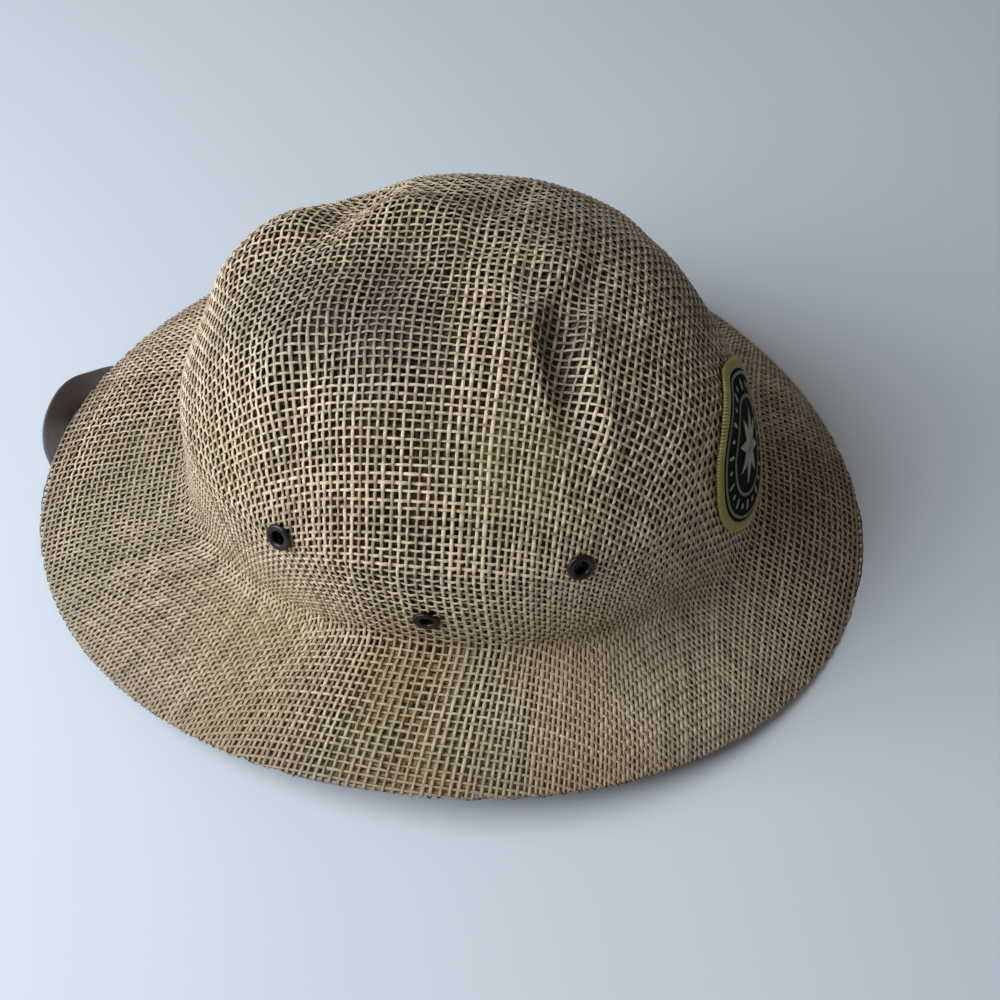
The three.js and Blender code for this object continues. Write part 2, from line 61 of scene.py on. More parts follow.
# Sizes
@dataclass(frozen=True)
class HatSizes:
    """Named sizes of the hat, in millimetres, as the CAD part has them."""

    brim_length: float = 334.0
    brim_width: float = 280.0
    total_height: float = 135.0
    crease_height: float = 33.0
    crown_length: float = 224.0
    crown_width: float = 184.0
    crown_ahead: float = 6.5
    crown_squareness: float = 2.15
    side_rise: float = 16.5
    rear_lift: float = 3.2
    front_flat: float = 0.5
    wall: float = 2.2

    @property
    def crown_depth(self) -> float:
        """Height of the crown over the crease."""
        return self.total_height - self.crease_height


# Crown rows from the top down: height share, length share, width share, shift share
CROWN_ROWS = np.array([
    [1.000, 0.000, 0.000, -0.040],
    [0.985, 0.270, 0.250, -0.040],
    [0.930, 0.475, 0.470, -0.030],
    [0.815, 0.660, 0.690, -0.020],
    [0.650, 0.795, 0.860, -0.010],
    [0.500, 0.885, 0.965, -0.006],
    [0.420, 0.915, 0.995, -0.004],
    [0.250, 0.945, 0.998, 0.010],
    [0.120, 0.968, 0.985, 0.020],
    [0.030, 0.985, 0.970, 0.020],
])
# Brim rows from the crease out: share of the reach, share of the drop
BRIM_ROWS = np.array([[0.06, 0.08], [0.17, 0.19], [0.38, 0.37], [0.60, 0.56], [0.81, 0.77], [1.0, 1.0]])
# Dents and ridges: ahead share, left share, reach and push in shares of the crown's depth
DENTS = {
    "front_right_groove": [
        (0.41, 0.03, 0.09, -0.015), (0.34, -0.13, 0.09, -0.036), (0.33, -0.26, 0.095, -0.058),
        (0.38, -0.40, 0.10, -0.060), (0.44, -0.54, 0.10, -0.034), (0.49, -0.66, 0.10, -0.010)],
    "front_right_ridge": [
        (0.43, -0.20, 0.11, 0.012), (0.45, -0.38, 0.12, 0.022), (0.47, -0.54, 0.13, 0.022),
        (0.46, -0.70, 0.12, 0.006)],
    "rear_right_groove": [
        (-0.26, -0.22, 0.14, -0.012), (-0.33, -0.36, 0.14, -0.024), (-0.40, -0.49, 0.13, -0.025),
        (-0.42, -0.65, 0.12, -0.008)],
    "rear_right_ridge": [
        (-0.35, -0.17, 0.14, 0.014), (-0.48, -0.36, 0.14, 0.020), (-0.52, -0.54, 0.14, 0.016),
        (-0.56, -0.66, 0.14, 0.010)],
    "right_hollow": [(-0.24, -0.50, 0.14, -0.016)],
    "front_bump": [(0.31, 0.11, 0.14, 0.025)],
    "left_crease": [(0.06, 0.28, 0.09, -0.012), (0.12, 0.39, 0.09, -0.022), (0.19, 0.55, 0.09, -0.016)],
    "top_hollow": [(0.08, 0.13, 0.11, -0.020)],
    "front_hollow": [(0.23, -0.04, 0.11, -0.020)],
    "rear_left_notch": [
        (-0.47, 0.26, 0.15, -0.030), (-0.42, 0.38, 0.17, -0.062), (-0.36, 0.52, 0.17, -0.062)],
    "rear_left_lump": [(-0.64, 0.36, 0.24, 0.040), (-0.76, 0.22, 0.26, 0.045)],
    "rear_left_flat": [(-0.56, 0.50, 0.24, -0.026), (-0.42, 0.62, 0.24, -0.032)],
    "left_fullness": [(0.02, 0.70, 0.30, 0.016), (0.20, 0.70, 0.30, 0.026), (0.44, 0.74, 0.26, 0.030)],
    "top_flat": [(-0.50, 0.02, 0.38, -0.040), (-0.22, -0.03, 0.36, -0.045), (0.02, -0.12, 0.30, -0.025)],
    "left_ridge": [(-0.15, 0.36, 0.13, 0.016)],
    "front_right_fullness": [
        (0.56, -0.50, 0.24, 0.020), (0.70, -0.36, 0.26, 0.045), (0.80, -0.20, 0.22, 0.030)],
    "front_left_flat": [
        (0.62, 0.70, 0.26, -0.012), (0.74, 0.62, 0.30, -0.070), (0.84, 0.50, 0.32, -0.056),
        (0.92, 0.30, 0.28, -0.012)],
}


def catmull(p0: Array, p1: Array, p2: Array, p3: Array, f: Array) -> Array:
    """Catmull-Rom blend of four equally spaced values at the share f between the middle two."""
    return 0.5 * (2 * p1 + (p2 - p0) * f + (2 * p0 - 5 * p1 + 4 * p2 - p3) * f ** 2
                  + (3 * p1 - p0 - 3 * p2 + p3) * f ** 3)


def unit(v: Array) -> Array:
    """Vectors scaled to length one."""
    return v / np.maximum(np.linalg.norm(v, axis=-1, keepdims=True), 1e-9)


def halved(low: float, high: float, holds: Callable[[float], bool]) -> float:
    """Finds by halving where a condition that holds at low stops holding.

    Args:
        low: a value at which the condition holds.
        high: a value at which it doesn't.
        holds: the condition.
    Returns:
        The value at which it changes.
    """
    for _ in range(30):
        mid = (low + high) / 2
        low, high = (mid, high) if holds(mid) else (low, mid)
    return (low + high) / 2


# The blocked shape
@dataclass(frozen=True)
class Place:
    """A point on the hat with its outward, level and upward directions."""

    at: Array
    out: Array
    along: Array
    up: Array
    theta: float
    t: float


class HatSurface:
    """The outside of the hat over the angle theta and the share t of the way from top to rim.

    The rows of the tables give points R_k(theta). A Catmull-Rom curve through them gives the smooth
    surface S(theta, u). Each dent adds push (1 - (d / reach)^2)^2 along the normal, d being the
    distance to its path. t is the arc length down S over its whole length at that angle.
    """

    AROUND = 720                 # steps of the table round theta
    DOWN = 460                   # steps of the table from top to rim
    FINE = 601                   # points on each profile while its length is measured
    WALL = (0.1, 0.72)           # shares t between which the crown's wall lies
    ROUNDS = 14                  # steps of Newton's method
    STEPS = (0.02, 0.006)        # differences in theta and t that it takes its slopes from
    DAMPING = 0.8

    def __init__(self, sizes: HatSizes, shift: float) -> None:
        """Tabulates the surface.

        Args:
            sizes: sizes of the hat.
            shift: how far its centre stands ahead of the frame's.
        """
        self.s = sizes
        self.shift = shift
        self.last = len(CROWN_ROWS) - 1 + len(BRIM_ROWS)
        self.paths = [self._path(rows) for rows in DENTS.values()]
        self._build()

    @staticmethod
    def _oval(th: Array, a: float, b: float, n: float) -> tuple[Array, Array]:
        """Points of |x / a|^n + |y / b|^n = 1 at the bearings th."""
        c, s = np.cos(th), np.sin(th)
        r = (np.abs(c / a) ** n + np.abs(s / b) ** n) ** (-1 / n)
        return r * c, r * s

    def _rows(self, th: Array) -> Array:
        """Control points: the crown's ovals, then shares of the way from its foot to the rim.

        Args:
            th: bearings, of any shape.
        Returns:
            Points shaped (rows, ..., 3).
        """
        s = self.s
        cx, cy = self._oval(th, s.crown_length / 2, s.crown_width / 2, s.crown_squareness)
        rows = [np.stack([s.crown_ahead + ahead * s.crown_length / 2 + cx * length, cy * width,
                          s.crease_height + s.crown_depth * height + 0 * cx], -1)
                for height, length, width, ahead in CROWN_ROWS]
        rx, ry = self._oval(th, s.brim_length / 2, s.brim_width / 2, 2.0)
        rise = s.side_rise * np.sin(th) ** 2 + s.rear_lift * (1 - np.cos(th)) / 2
        rz = np.maximum(0, rise - s.front_flat)
        rim = np.stack([rx, ry], -1)
        _, length, width, ahead = CROWN_ROWS[-1]
        foot = np.stack([s.crown_ahead + ahead * s.crown_length / 2 + cx * length, cy * width], -1)
        for out, drop in BRIM_ROWS:
            z = s.crease_height + (rz - s.crease_height) * drop
            rows.append(np.concatenate([foot + (rim - foot) * out, z[..., None]], -1))
        return np.array(rows)

    def smooth(self, th: Array, u: Array) -> Array:
        """The surface without its dents.

        Args:
            th: bearings.
            u: positions down the rows, 0 at the top.
        Returns:
            Points in millimetres, before the hat's shift.
        """
        th, u = np.broadcast_arrays(np.asarray(th, float), np.asarray(u, float))
        rows = self._rows(th)
        over = self._rows(th + np.pi)[1]
        k = np.clip(np.floor(u).astype(int), 0, self.last - 1)
        f = (u - k)[..., None]

        def row(i: Array) -> Array:
            """Control points of the rows i."""
            i = np.clip(i, 0, self.last)
            return np.take_along_axis(rows, i[None, ..., None].repeat(3, -1), 0)[0]

        p1, p2 = row(k), row(k + 1)
        p0 = np.where((k > 0)[..., None], row(k - 1), over)
        p3 = np.where((k < self.last - 1)[..., None], row(k + 2), 2 * p2 - p1)
        return catmull(p0, p1, p2, p3, f)

    def _path(self, rows: list[tuple[float, float, float, float]]) -> list[tuple[Array, float, float]]:
        """Puts a dent's path on the smooth crown, each point under its place in plan.

        Args:
            rows: ahead and left shares, then reach and push as shares of the crown's depth.
        Returns:
            Point, reach and push of each row in millimetres.
        """
        half_l, half_w = self.s.crown_length / 2, self.s.crown_width / 2
        middle = np.array([self.s.crown_ahead, 0.0])
        foot = 6.0
        out = []
        for ahead, left, reach, push in rows:
            th = np.arctan2(left * half_w, ahead * half_l)
            r = np.hypot(ahead * half_l, left * half_w)
            u = halved(0.0, foot, lambda mid: np.hypot(*(self.smooth(th, mid)[:2] - middle)) < r)
            out.append((self.smooth(th, u), reach * self.s.crown_depth, push * self.s.crown_depth))
        return out

    def _push(self, p: Array) -> Array:
        """Sum over the dents of the push, each path giving its strongest at a point.

        Args:
            p: points of the smooth surface.
        Returns:
            Push along the normal at each.
        """
        total = np.zeros(p.shape[:-1])
        for path in self.paths:
            best = np.zeros_like(total)
            pairs = list(zip(path[:-1], path[1:])) or [(path[0], path[0])]
            for (a, ra, pa), (b, rb, pb) in pairs:
                edge = b - a
                t = np.clip((p - a) @ edge / max(edge @ edge, 1e-9), 0, 1)
                d = np.linalg.norm(p - a - t[..., None] * edge, axis=-1)
                q = np.clip(d / (ra + (rb - ra) * t), 0, 1)
                v = (pa + (pb - pa) * t) * (1 - q * q) ** 2
                best = np.where(np.abs(v) > np.abs(best), v, best)
            total += best
        return total

    @staticmethod
    def _normals(p: Array) -> Array:
        """Outward normals of a table that closes round theta, as the cross product of its steps.

        Args:
            p: points over (theta, t), whose first and last rows are the same.
        Returns:
            Unit normals of the same shape, with one normal at the top.
        """
        ring = p[:-1]
        around = np.roll(ring, -1, 0) - np.roll(ring, 1, 0)
        down = np.gradient(ring, axis=1)
        n = unit(np.cross(down, around))
        n[:, 0] = unit(n[:, 2].mean(0))
        n[:, 1] = unit(n[:, 2])
        return np.concatenate([n, n[:1]], 0)

    def _build(self) -> None:
        """Tabulates the dented surface, its normals and the arc length to the rim."""
        th = np.linspace(0, 2 * np.pi, self.AROUND + 1)
        fine = np.linspace(0, self.last, self.FINE)
        raw = self.smooth(th[:, None], fine[None, :])
        step = np.linalg.norm(np.diff(raw, axis=1), axis=-1)
        length = np.concatenate([np.zeros((len(th), 1)), np.cumsum(step, 1)], 1)
        self.reach = length[:, -1]
        t = np.linspace(0, 1, self.DOWN + 1)
        u = np.array([np.interp(t * length[i, -1], length[i], fine) for i in range(len(th))])
        base = self.smooth(th[:, None].repeat(len(t), 1), u)
        self.points = base + self._normals(base) * self._push(base)[..., None]
        self.normals = self._normals(self.points)
        self.points[..., 0] += self.shift
        # girth for each radian at the left side and at the rear, against t
        girth = np.linalg.norm(np.gradient(base, axis=0), axis=-1) / (2 * np.pi / self.AROUND)
        self.side_girth = girth[self.AROUND // 4]
        self.rear_girth = girth[self.AROUND // 2]

    def _look_up(self, table: Array, th: Array, t: Array) -> Array:
        """Bilinear value of a table.

        Args:
            table: values over (theta, t).
            th: bearings.
            t: shares of the way from top to rim.
        Returns:
            The values at those points.
        """
        a = (np.asarray(th, float) / (2 * np.pi) % 1.0) * self.AROUND
        b = np.clip(np.asarray(t, float), 0, 1) * self.DOWN
        i = np.minimum(a.astype(int), self.AROUND - 1)
        j = np.minimum(b.astype(int), self.DOWN - 1)
        fa, fb = (a - i)[..., None], (b - j)[..., None]
        return (table[i, j] * (1 - fa) * (1 - fb) + table[i + 1, j] * fa * (1 - fb)
                + table[i, j + 1] * (1 - fa) * fb + table[i + 1, j + 1] * fa * fb)

    def point(self, th: Array, t: Array) -> Array:
        """Outside of the hat at (theta, t)."""
        return self._look_up(self.points, th, t)

    def normal(self, th: Array, t: Array) -> Array:
        """Outward normal at (theta, t)."""
        return unit(self._look_up(self.normals, th, t))

    def rim_reach(self, th: Array) -> Array:
        """Arc length from the top to the rim at the angle theta."""
        a = (np.asarray(th, float) / (2 * np.pi) % 1.0) * self.AROUND
        return np.interp(a, np.arange(self.AROUND + 1), self.reach)

    def t_at_height(self, th: float, height: float) -> float:
        """Share t on the crown's wall at that height over the floor."""
        return halved(*self.WALL, lambda t: self.point(th, t)[2] > height)

    def place(self, th: float, t: float) -> Place:
        """Works out the local directions at a point of the hat.

        Args:
            th: its bearing.
            t: its share of the way from top to rim.
        Returns:
            The place.
        """
        out = self.normal(th, t)
        along = unit(np.cross([0, 0, 1.0], out))
        return Place(self.point(th, t), out, along, np.cross(out, along), th, t)

    def place_at_x(self, x: float, height: float, side: int) -> Place:
        """Finds a place on the crown's wall.

        Args:
            x: how far ahead of the frame's centre it is.
            height: height over the floor.
            side: -1 for the right wall, 1 for the left one.
        Returns:
            The place.
        """
        def ahead(turn: float) -> bool:
            """Whether the wall at that turn from the front is still ahead of x."""
            return self.point(side * turn, self.t_at_height(side * turn, height))[0] > x

        th = side * halved(0.0, np.pi, ahead)
        return self.place(th, self.t_at_height(th, height))

    def under(self, place: Place, p: Array, q: Array) -> tuple[Array, Array]:
        """Finds surface points from their shadow on the plane of a place, by Newton's method.

        Args:
            place: the place whose plane it is.
            p: level distance in the plane.
            q: distance up the plane.
        Returns:
            theta and t of the points.
        """
        p, q = np.broadcast_arrays(np.asarray(p, float), np.asarray(q, float))
        th = np.full(p.shape, place.theta)
        t = np.full(p.shape, place.t)

        def flat(a: Array, b: Array) -> tuple[Array, Array]:
            """Shadow of the surface point (a, b)."""
            d = self.point(a, b) - place.at
            return d @ place.along, d @ place.up

        e, g = self.STEPS
        for _ in range(self.ROUNDS):
            a0, b0 = flat(th, t)
            a1, b1 = flat(th + e, t)
            a2, b2 = flat(th, t + g)
            m00, m01, m10, m11 = (a1 - a0) / e, (a2 - a0) / g, (b1 - b0) / e, (b2 - b0) / g
            det = m00 * m11 - m01 * m10
            th = th - self.DAMPING * (m11 * (a0 - p) - m01 * (b0 - q)) / det
            t = t - self.DAMPING * (m00 * (b0 - q) - m10 * (a0 - p)) / det
        return th, t

    def over(self, place: Place, p: Array, q: Array, lift: Array) -> Array:
        """Points that stand lift off the cloth over the plan position (p, q) of the place."""
        th, t = self.under(place, p, q)
        return self.point(th, t) + self.normal(th, t) * np.asarray(lift, float)[..., None]


# Materials
class Slot(Enum):
    """Material slots of the record."""

    STRAW = "straw_mesh"
    METAL = "eyelet_metal"
    PATCH = "patch_cloth"
    PALE = "pale_thread"
    BORDER = "border_thread"
    STRAP = "strap_leather"


OLIVE = (0.42, 0.34, 0.13)
# Painted shade: dark brown laid along the front-right groove and over the top and far side of the crown
PAINTED_SHADE = (0.10, 0.085, 0.07)
# Painted shadow: the crown's shadow on the front of the brim, and shade at the crown's front-right foot
PAINTED_SHADOW = (0.30, 0.20, 0.13)
TAN = (0.35, 0.265, 0.152)
HONEY = (0.42, 0.28, 0.13)
# Stains and painted shade in the order in which they lie over each other: a colour, then for each patch
# its middle from the hat's centre, its reach and its strength
STAINS_AND_SHADE = (
    (OLIVE, ((34, -66, 112, 24, 0.32), (-66, -56, 90, 26, 0.28))),
    # painted shade down the front-right groove, then on the top beside it
    (PAINTED_SHADE, ((39, -20, 127, 9, 0.50), (42, -30, 124, 8, 0.50), (47, -40, 120, 7, 0.42),
            (53, -51, 115, 6, 0.32), (-12, -34, 126, 26, 0.30))),
    (TAN, ((-122, -62, 20, 74, 0.58), (-60, -122, 16, 46, 0.36), (30, -112, 22, 54, 0.42),
           (-104, -10, 40, 40, 0.40), (80, -76, 40, 40, 0.40))),
    # first three: painted shade in the near-side crease between crown and brim; last three: a browner
    # band near the near-side rim
    (HONEY, ((0, -98, 33, 26, 0.50), (56, -88, 34, 26, 0.50), (-58, -86, 34, 26, 0.42),
             (10, -138, 14, 30, 0.48), (66, -122, 10, 30, 0.45), (-60, -126, 16, 28, 0.40))),
    # painted shade over the top of the crown
    (PAINTED_SHADE, ((-26, -12, 129, 34, 0.40), (44, -14, 128, 24, 0.34), (-60, -14, 120, 26, 0.25))),
    # painted shade at the crown's front-right foot, then the crown's painted shadow on the front brim
    (PAINTED_SHADOW, ((104, -66, 25, 40, 0.30), (150, 10, 14, 60, 0.55))),
    (OLIVE, ((-4, -118, 24, 34, 0.20), (-52, -96, 34, 26, 0.22))),
    # painted shade on the far side of the crown's front and top
    (PAINTED_SHADE, ((88, 30, 104, 34, 0.34), (30, 40, 124, 44, 0.30))),
)


@dataclass(frozen=True)
class Finish:
    """What a surface looks like: its two colours, how far they mix, shine and fine relief."""

    name: str
    light: Colour
    dark: Colour
    roughness: float
    relief: float = 0.2
    grain: float = 900.0
    stretch: tuple[float, float, float] = (1.0, 1.0, 1.0)
    metallic: float = 0.0
    sheen: float = 0.0
    specular: float = 0.4
    by_thread: bool = False
    toned: bool = False     # whether the piece's own tone attribute sets the colour
    streak: float = 0.45    # how far the grain shows in the colour
    blotch: float = 0.35


class Shader:
    """Builds one node material from a finish, for a hat that stands shift ahead of the frame's centre."""

    TONE_SHARE = 0.55                   # how far the tone shows in the colour
    PLAIN_STREAK = 0.45                 # the streak at which the mean colour isn't corrected
    MIXED = (0.28, 0.72)                # shares at which the dark and the light colour stand alone
    BLOTCHES = (14.0, 4.0)              # scale and detail of the blotches
    BLOTCH_EDGES = (0.35, 0.68)
    FADED = 0.72                        # a blotch's brightness over the light colour's
    HEM_COLOUR = (0.25, 0.155, 0.095)   # colour that the straw takes at the rim
    HEM_SHARE = 0.50
    ROUGH_SPREAD = 0.22                 # how far the grain changes the roughness
    RELIEF_DEPTH = 0.0004
    SHEEN_ROUGHNESS = 0.4
    RAGGED = (60.0, 3.0)                # scale and detail of the noise that breaks up the stains and the painted shade
    SPOT_ENDS = (1.3, 0.2)             # shares of the reach at which each stain and each patch of painted shade begins and is full

    def __init__(self, finish: Finish, shift: float = 0.0) -> None:
        """Starts an empty material.

        Args:
            finish: what it looks like.
            shift: how far the hat stands ahead of the frame's centre.
        """
        self.f = finish
        self.shift = shift
        self.mat = bpy.data.materials.new(finish.name)
        self.mat.use_nodes = True
        self.nodes = self.mat.node_tree.nodes
        self.links = self.mat.node_tree.links
        self.bsdf = self.nodes["Principled BSDF"]

    def node(self, kind: str, **values: float | str) -> bpy.types.Node:
        """Adds a node.

        Args:
            kind: Blender's name of the node type.
            values: its inputs and settings by name.
        Returns:
            The node.
        """
        n = self.nodes.new(kind)
        for key, value in values.items():
            if key in n.inputs:
                n.inputs[key].default_value = value
            else:
                setattr(n, key, value)
        return n

    def fill(self, slot: Socket, value: Socket | Colour | float) -> None:
        """Links a socket to an input, or sets the input to a number or a colour.

        Args:
            slot: the input.
            value: what goes into it.
        """
        if isinstance(value, (int, float)):
            slot.default_value = value
        elif isinstance(value, tuple):
            slot.default_value = (*value, 1.0)
        else:
            self.links.new(value, slot)

    def attribute(self, name: str) -> Socket:
        """Value of one of the mesh's own attributes."""
        return self.node("ShaderNodeAttribute", attribute_name=name).outputs["Fac"]

    def noise(self, vector: Socket, scale: float, detail: float,
              stretch: tuple[float, float, float] = (1, 1, 1)) -> Socket:
        """Noise over a vector, stretched along its axes.

        Args:
            vector: where it is read.
            scale: its fineness.
            detail: its octaves.
            stretch: scale along each axis.
        Returns:
            The noise, about 0.5 in the mean.
        """
        m = self.node("ShaderNodeMapping", Scale=stretch)
        self.links.new(vector, m.inputs["Vector"])
        n = self.node("ShaderNodeTexNoise", Scale=scale, Detail=detail)
        self.links.new(m.outputs[0], n.inputs["Vector"])
        return n.outputs["Fac"]

    def math(self, op: str, a: Socket | float, b: Socket | float) -> Socket:
        """One math node.

        Args:
            op: Blender's name of the operation.
            a: its first number or socket.
            b: its second.
        Returns:
            The result.
        """
        n = self.node("ShaderNodeMath", operation=op)
        self.fill(n.inputs[0], a)
        self.fill(n.inputs[1], b)
        return n.outputs[0]

    def mix(self, share: Socket, a: Socket | Colour, b: Socket | Colour) -> Socket:
        """Mixes two colours.

        Args:
            share: how much of the second there is.
            a: the first colour.
            b: the second.
        Returns:
            The mixture.
        """
        n = self.node("ShaderNodeMix", data_type="RGBA")
        for i, value in ((0, share), (6, a), (7, b)):
            self.fill(n.inputs[i], value)
        return n.outputs[2]

    def ramp(self, value: Socket, low: float, high: float, kind: str = "LINEAR") -> Socket:
        """Maps a range to 0..1, clamped.

        Args:
            value: what is mapped.
            low: the value that gives 0.
            high: the value that gives 1.
            kind: straight or smoothed at its ends.
        Returns:
            The share.
        """
        n = self.node("ShaderNodeMapRange", interpolation_type=kind)
        n.inputs["From Min"].default_value = low
        n.inputs["From Max"].default_value = high
        self.links.new(value, n.inputs["Value"])
        return n.outputs[0]

    def stained_and_shaded(self, colour: Socket, space: Socket) -> Socket:
        """Lays the stains and the painted shade over a colour, each fading out smoothly and broken up by
        noise.

        Args:
            colour: the clean straw.
            space: the hat's own coordinates.
        Returns:
            The colour with its stains and painted shade.
        """
        ragged = self.noise(space, *self.RAGGED)
        begin, full = self.SPOT_ENDS
        for tint, x, y, z, reach, strength in ((tint, *row) for tint, rows in STAINS_AND_SHADE for row in rows):
            away = self.node("ShaderNodeVectorMath", operation="DISTANCE")
            self.links.new(space, away.inputs[0])
            away.inputs[1].default_value = ((x + self.shift) * MM, y * MM, z * MM)
            near = self.ramp(away.outputs["Value"], reach * begin * MM, reach * full * MM, "SMOOTHSTEP")
            share = self.math("MULTIPLY", near, self.math("MULTIPLY", ragged, 2.0 * strength))
            colour = self.mix(share, colour, tint)
        return colour

    def build(self) -> Material:
        """Colour from tone, blotches and grain, roughness and bump from grain."""
        f = self.f
        space = self.node("ShaderNodeTexCoord").outputs["Object"]
        self.bsdf.inputs["Metallic"].default_value = f.metallic
        self.bsdf.inputs["Specular IOR Level"].default_value = f.specular
        if f.sheen:
            self.bsdf.inputs["Sheen Weight"].default_value = f.sheen
            self.bsdf.inputs["Sheen Roughness"].default_value = self.SHEEN_ROUGHNESS
        if f.by_thread:
            thread = self.node("ShaderNodeUVMap", uv_map="thread").outputs[0]
            grain = self.noise(thread, 1.0, 4.0, f.stretch)
        else:
            grain = self.noise(space, f.grain, 5.0, f.stretch)
        if f.by_thread or f.toned:
            tone = self.attribute("tone")
        else:
            tone = self.noise(space, f.grain * 0.11, 2.0)
        streaks = self.math("MULTIPLY", grain, f.streak)
        share = self.math("ADD", self.math("MULTIPLY", tone, self.TONE_SHARE), streaks)
        share = self.math("SUBTRACT", share, 0.5 * (f.streak - self.PLAIN_STREAK))
        colour = self.mix(self.ramp(share, *self.MIXED), f.dark, f.light)
        blotch = self.ramp(self.noise(space, *self.BLOTCHES), *self.BLOTCH_EDGES)
        faded = tuple(self.FADED * c for c in f.light)
        colour = self.mix(self.math("MULTIPLY", blotch, f.blotch), colour, faded)
        if f.by_thread:
            hem = self.math("MULTIPLY", self.attribute("edge"), self.HEM_SHARE)
            colour = self.stained_and_shaded(self.mix(hem, colour, self.HEM_COLOUR), space)
        self.links.new(colour, self.bsdf.inputs["Base Color"])
        spread = self.math("MULTIPLY", grain, self.ROUGH_SPREAD)
        rough = self.math("ADD", spread, f.roughness - self.ROUGH_SPREAD / 2)
        self.links.new(rough, self.bsdf.inputs["Roughness"])
        bump = self.node("ShaderNodeBump", Strength=f.relief, Distance=self.RELIEF_DEPTH)
        self.links.new(grain, bump.inputs["Height"])
        self.links.new(bump.outputs[0], self.bsdf.inputs["Normal"])
        return self.mat


STRAW = Finish("straw", (0.92, 0.695, 0.455), (0.25, 0.158, 0.080), 0.42, relief=0.8,
               stretch=(0.6, 14.0, 1.0), by_thread=True, streak=0.95, specular=0.45, sheen=0.05,
               blotch=0.28)
# The inner ply's straw is painted near black: painted shade standing in for the unlit inside of the hat
STRAW_INNER_SHADE = Finish("straw_inner", (0.092, 0.058, 0.030), (0.034, 0.020, 0.010), 0.85, relief=0.3,
                     stretch=(0.35, 7.0, 1.0), by_thread=True, specular=0.08, blotch=0.30)
BRONZE = Finish("dark_bronze", (0.060, 0.046, 0.044), (0.014, 0.011, 0.012), 0.30, relief=0.12,
                grain=1500.0, metallic=0.85, specular=0.5)
FIELD = Finish("patch_thread_dark", (0.006, 0.009, 0.008), (0.002, 0.003, 0.003), 0.85, relief=0.5,
               grain=1400.0, specular=0.08)
BORDER = Finish("border_thread", (0.46, 0.385, 0.075), (0.11, 0.088, 0.020), 0.36, relief=0.3,
                grain=2200.0, toned=True, sheen=0.05, specular=0.5)
# Pale grey thread, painted darker than its own colour to stand in for the shade that the patch lies in
PALE = Finish("pale_thread", (0.40, 0.41, 0.36), (0.20, 0.21, 0.175), 0.5, relief=0.3, grain=2200.0)
GREEN = Finish("green_thread", (0.20, 0.21, 0.075), (0.09, 0.10, 0.030), 0.5, relief=0.3, grain=2200.0)
LEATHER = Finish("strap_leather", (0.125, 0.098, 0.088), (0.055, 0.042, 0.040), 0.46, relief=0.35,
                 grain=700.0, specular=0.45, blotch=0.2)


# Mesh making
@dataclass
class Patchwork:
    """Vertices and faces gathered for one mesh, with optional thread coordinates and tones."""

    points: list[Array] = field(default_factory=list)
    quads: list[Array] = field(default_factory=list)
    tris: list[Array] = field(default_factory=list)
    uv: list[Array] = field(default_factory=list)
    tone: list[Array] = field(default_factory=list)
    edge: list[Array] = field(default_factory=list)
    count: int = 0

    def add(self, points: Array, quads: Array, tris: Array, uv: Array | None = None,
            tone: Array | None = None, edge: Array | None = None) -> None:
        """Adds one closed part, its faces turned so that the volume they close is positive.

        Args:
            points: its vertices in millimetres.
            quads: faces of four of them.
            tris: faces of three of them.
            uv: thread coordinates of the vertices.
            tone: tone of the vertices, 0 to 1.
            edge: how near the rim they are, 0 to 1.
        """
        corners = points[np.concatenate([quads[:, [0, 1, 2]], quads[:, [0, 2, 3]], tris])]
        volume = np.einsum("ij,ij->", corners[:, 0], np.cross(corners[:, 1], corners[:, 2]))
        if volume <= 0:
            quads, tris = quads[:, ::-1], tris[:, ::-1]
        n = len(points)
        self.points.append(points)
        self.quads.append(quads + self.count)
        self.tris.append(tris + self.count)
        self.uv.append(uv if uv is not None else np.zeros((n, 2)))
        self.tone.append(tone if tone is not None else np.full(n, 0.5))
        self.edge.append(edge if edge is not None else np.zeros(n))
        self.count += n

    def make(self, name: str, finish: Material, slot: Slot, node: str) -> None:
        """Builds the object, in metres, and hands it to the frame.

        Args:
            name: the piece's name.
            finish: its material.
            slot: not used.
            node: the CAD node it stands for.
        """
        points = np.concatenate(self.points) * MM
        quads = np.concatenate(self.quads).astype(np.int32)
        tris = np.concatenate(self.tris).astype(np.int32)
        mesh = bpy.data.meshes.new(name)
        mesh.vertices.add(len(points))
        mesh.vertices.foreach_set("co", points.astype(np.float32).ravel())
        loops = np.concatenate([quads.ravel(), tris.ravel()])
        starts = np.concatenate([np.arange(len(quads)) * 4, len(quads) * 4 + np.arange(len(tris)) * 3])
        mesh.loops.add(len(loops))
        mesh.loops.foreach_set("vertex_index", loops)
        mesh.polygons.add(len(starts))
        mesh.polygons.foreach_set("loop_start", starts.astype(np.int32))
        mesh.polygons.foreach_set("use_smooth", np.ones(len(starts), bool))
        mesh.update(calc_edges=True)
        layer = mesh.uv_layers.new(name="thread")
        layer.data.foreach_set("uv", np.concatenate(self.uv)[loops].astype(np.float32).ravel())
        for key, values in (("tone", self.tone), ("edge", self.edge)):
            att = mesh.attributes.new(key, "FLOAT", "POINT")
            att.data.foreach_set("value", np.concatenate(values).astype(np.float32))
        mesh.materials.append(finish)
        obj = bpy.data.objects.new(name, mesh)
        bpy.context.collection.objects.link(obj)
        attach(obj, "root")
        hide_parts(node)
        LOG.info("%s: %d triangles", name, 2 * len(quads) + len(tris))


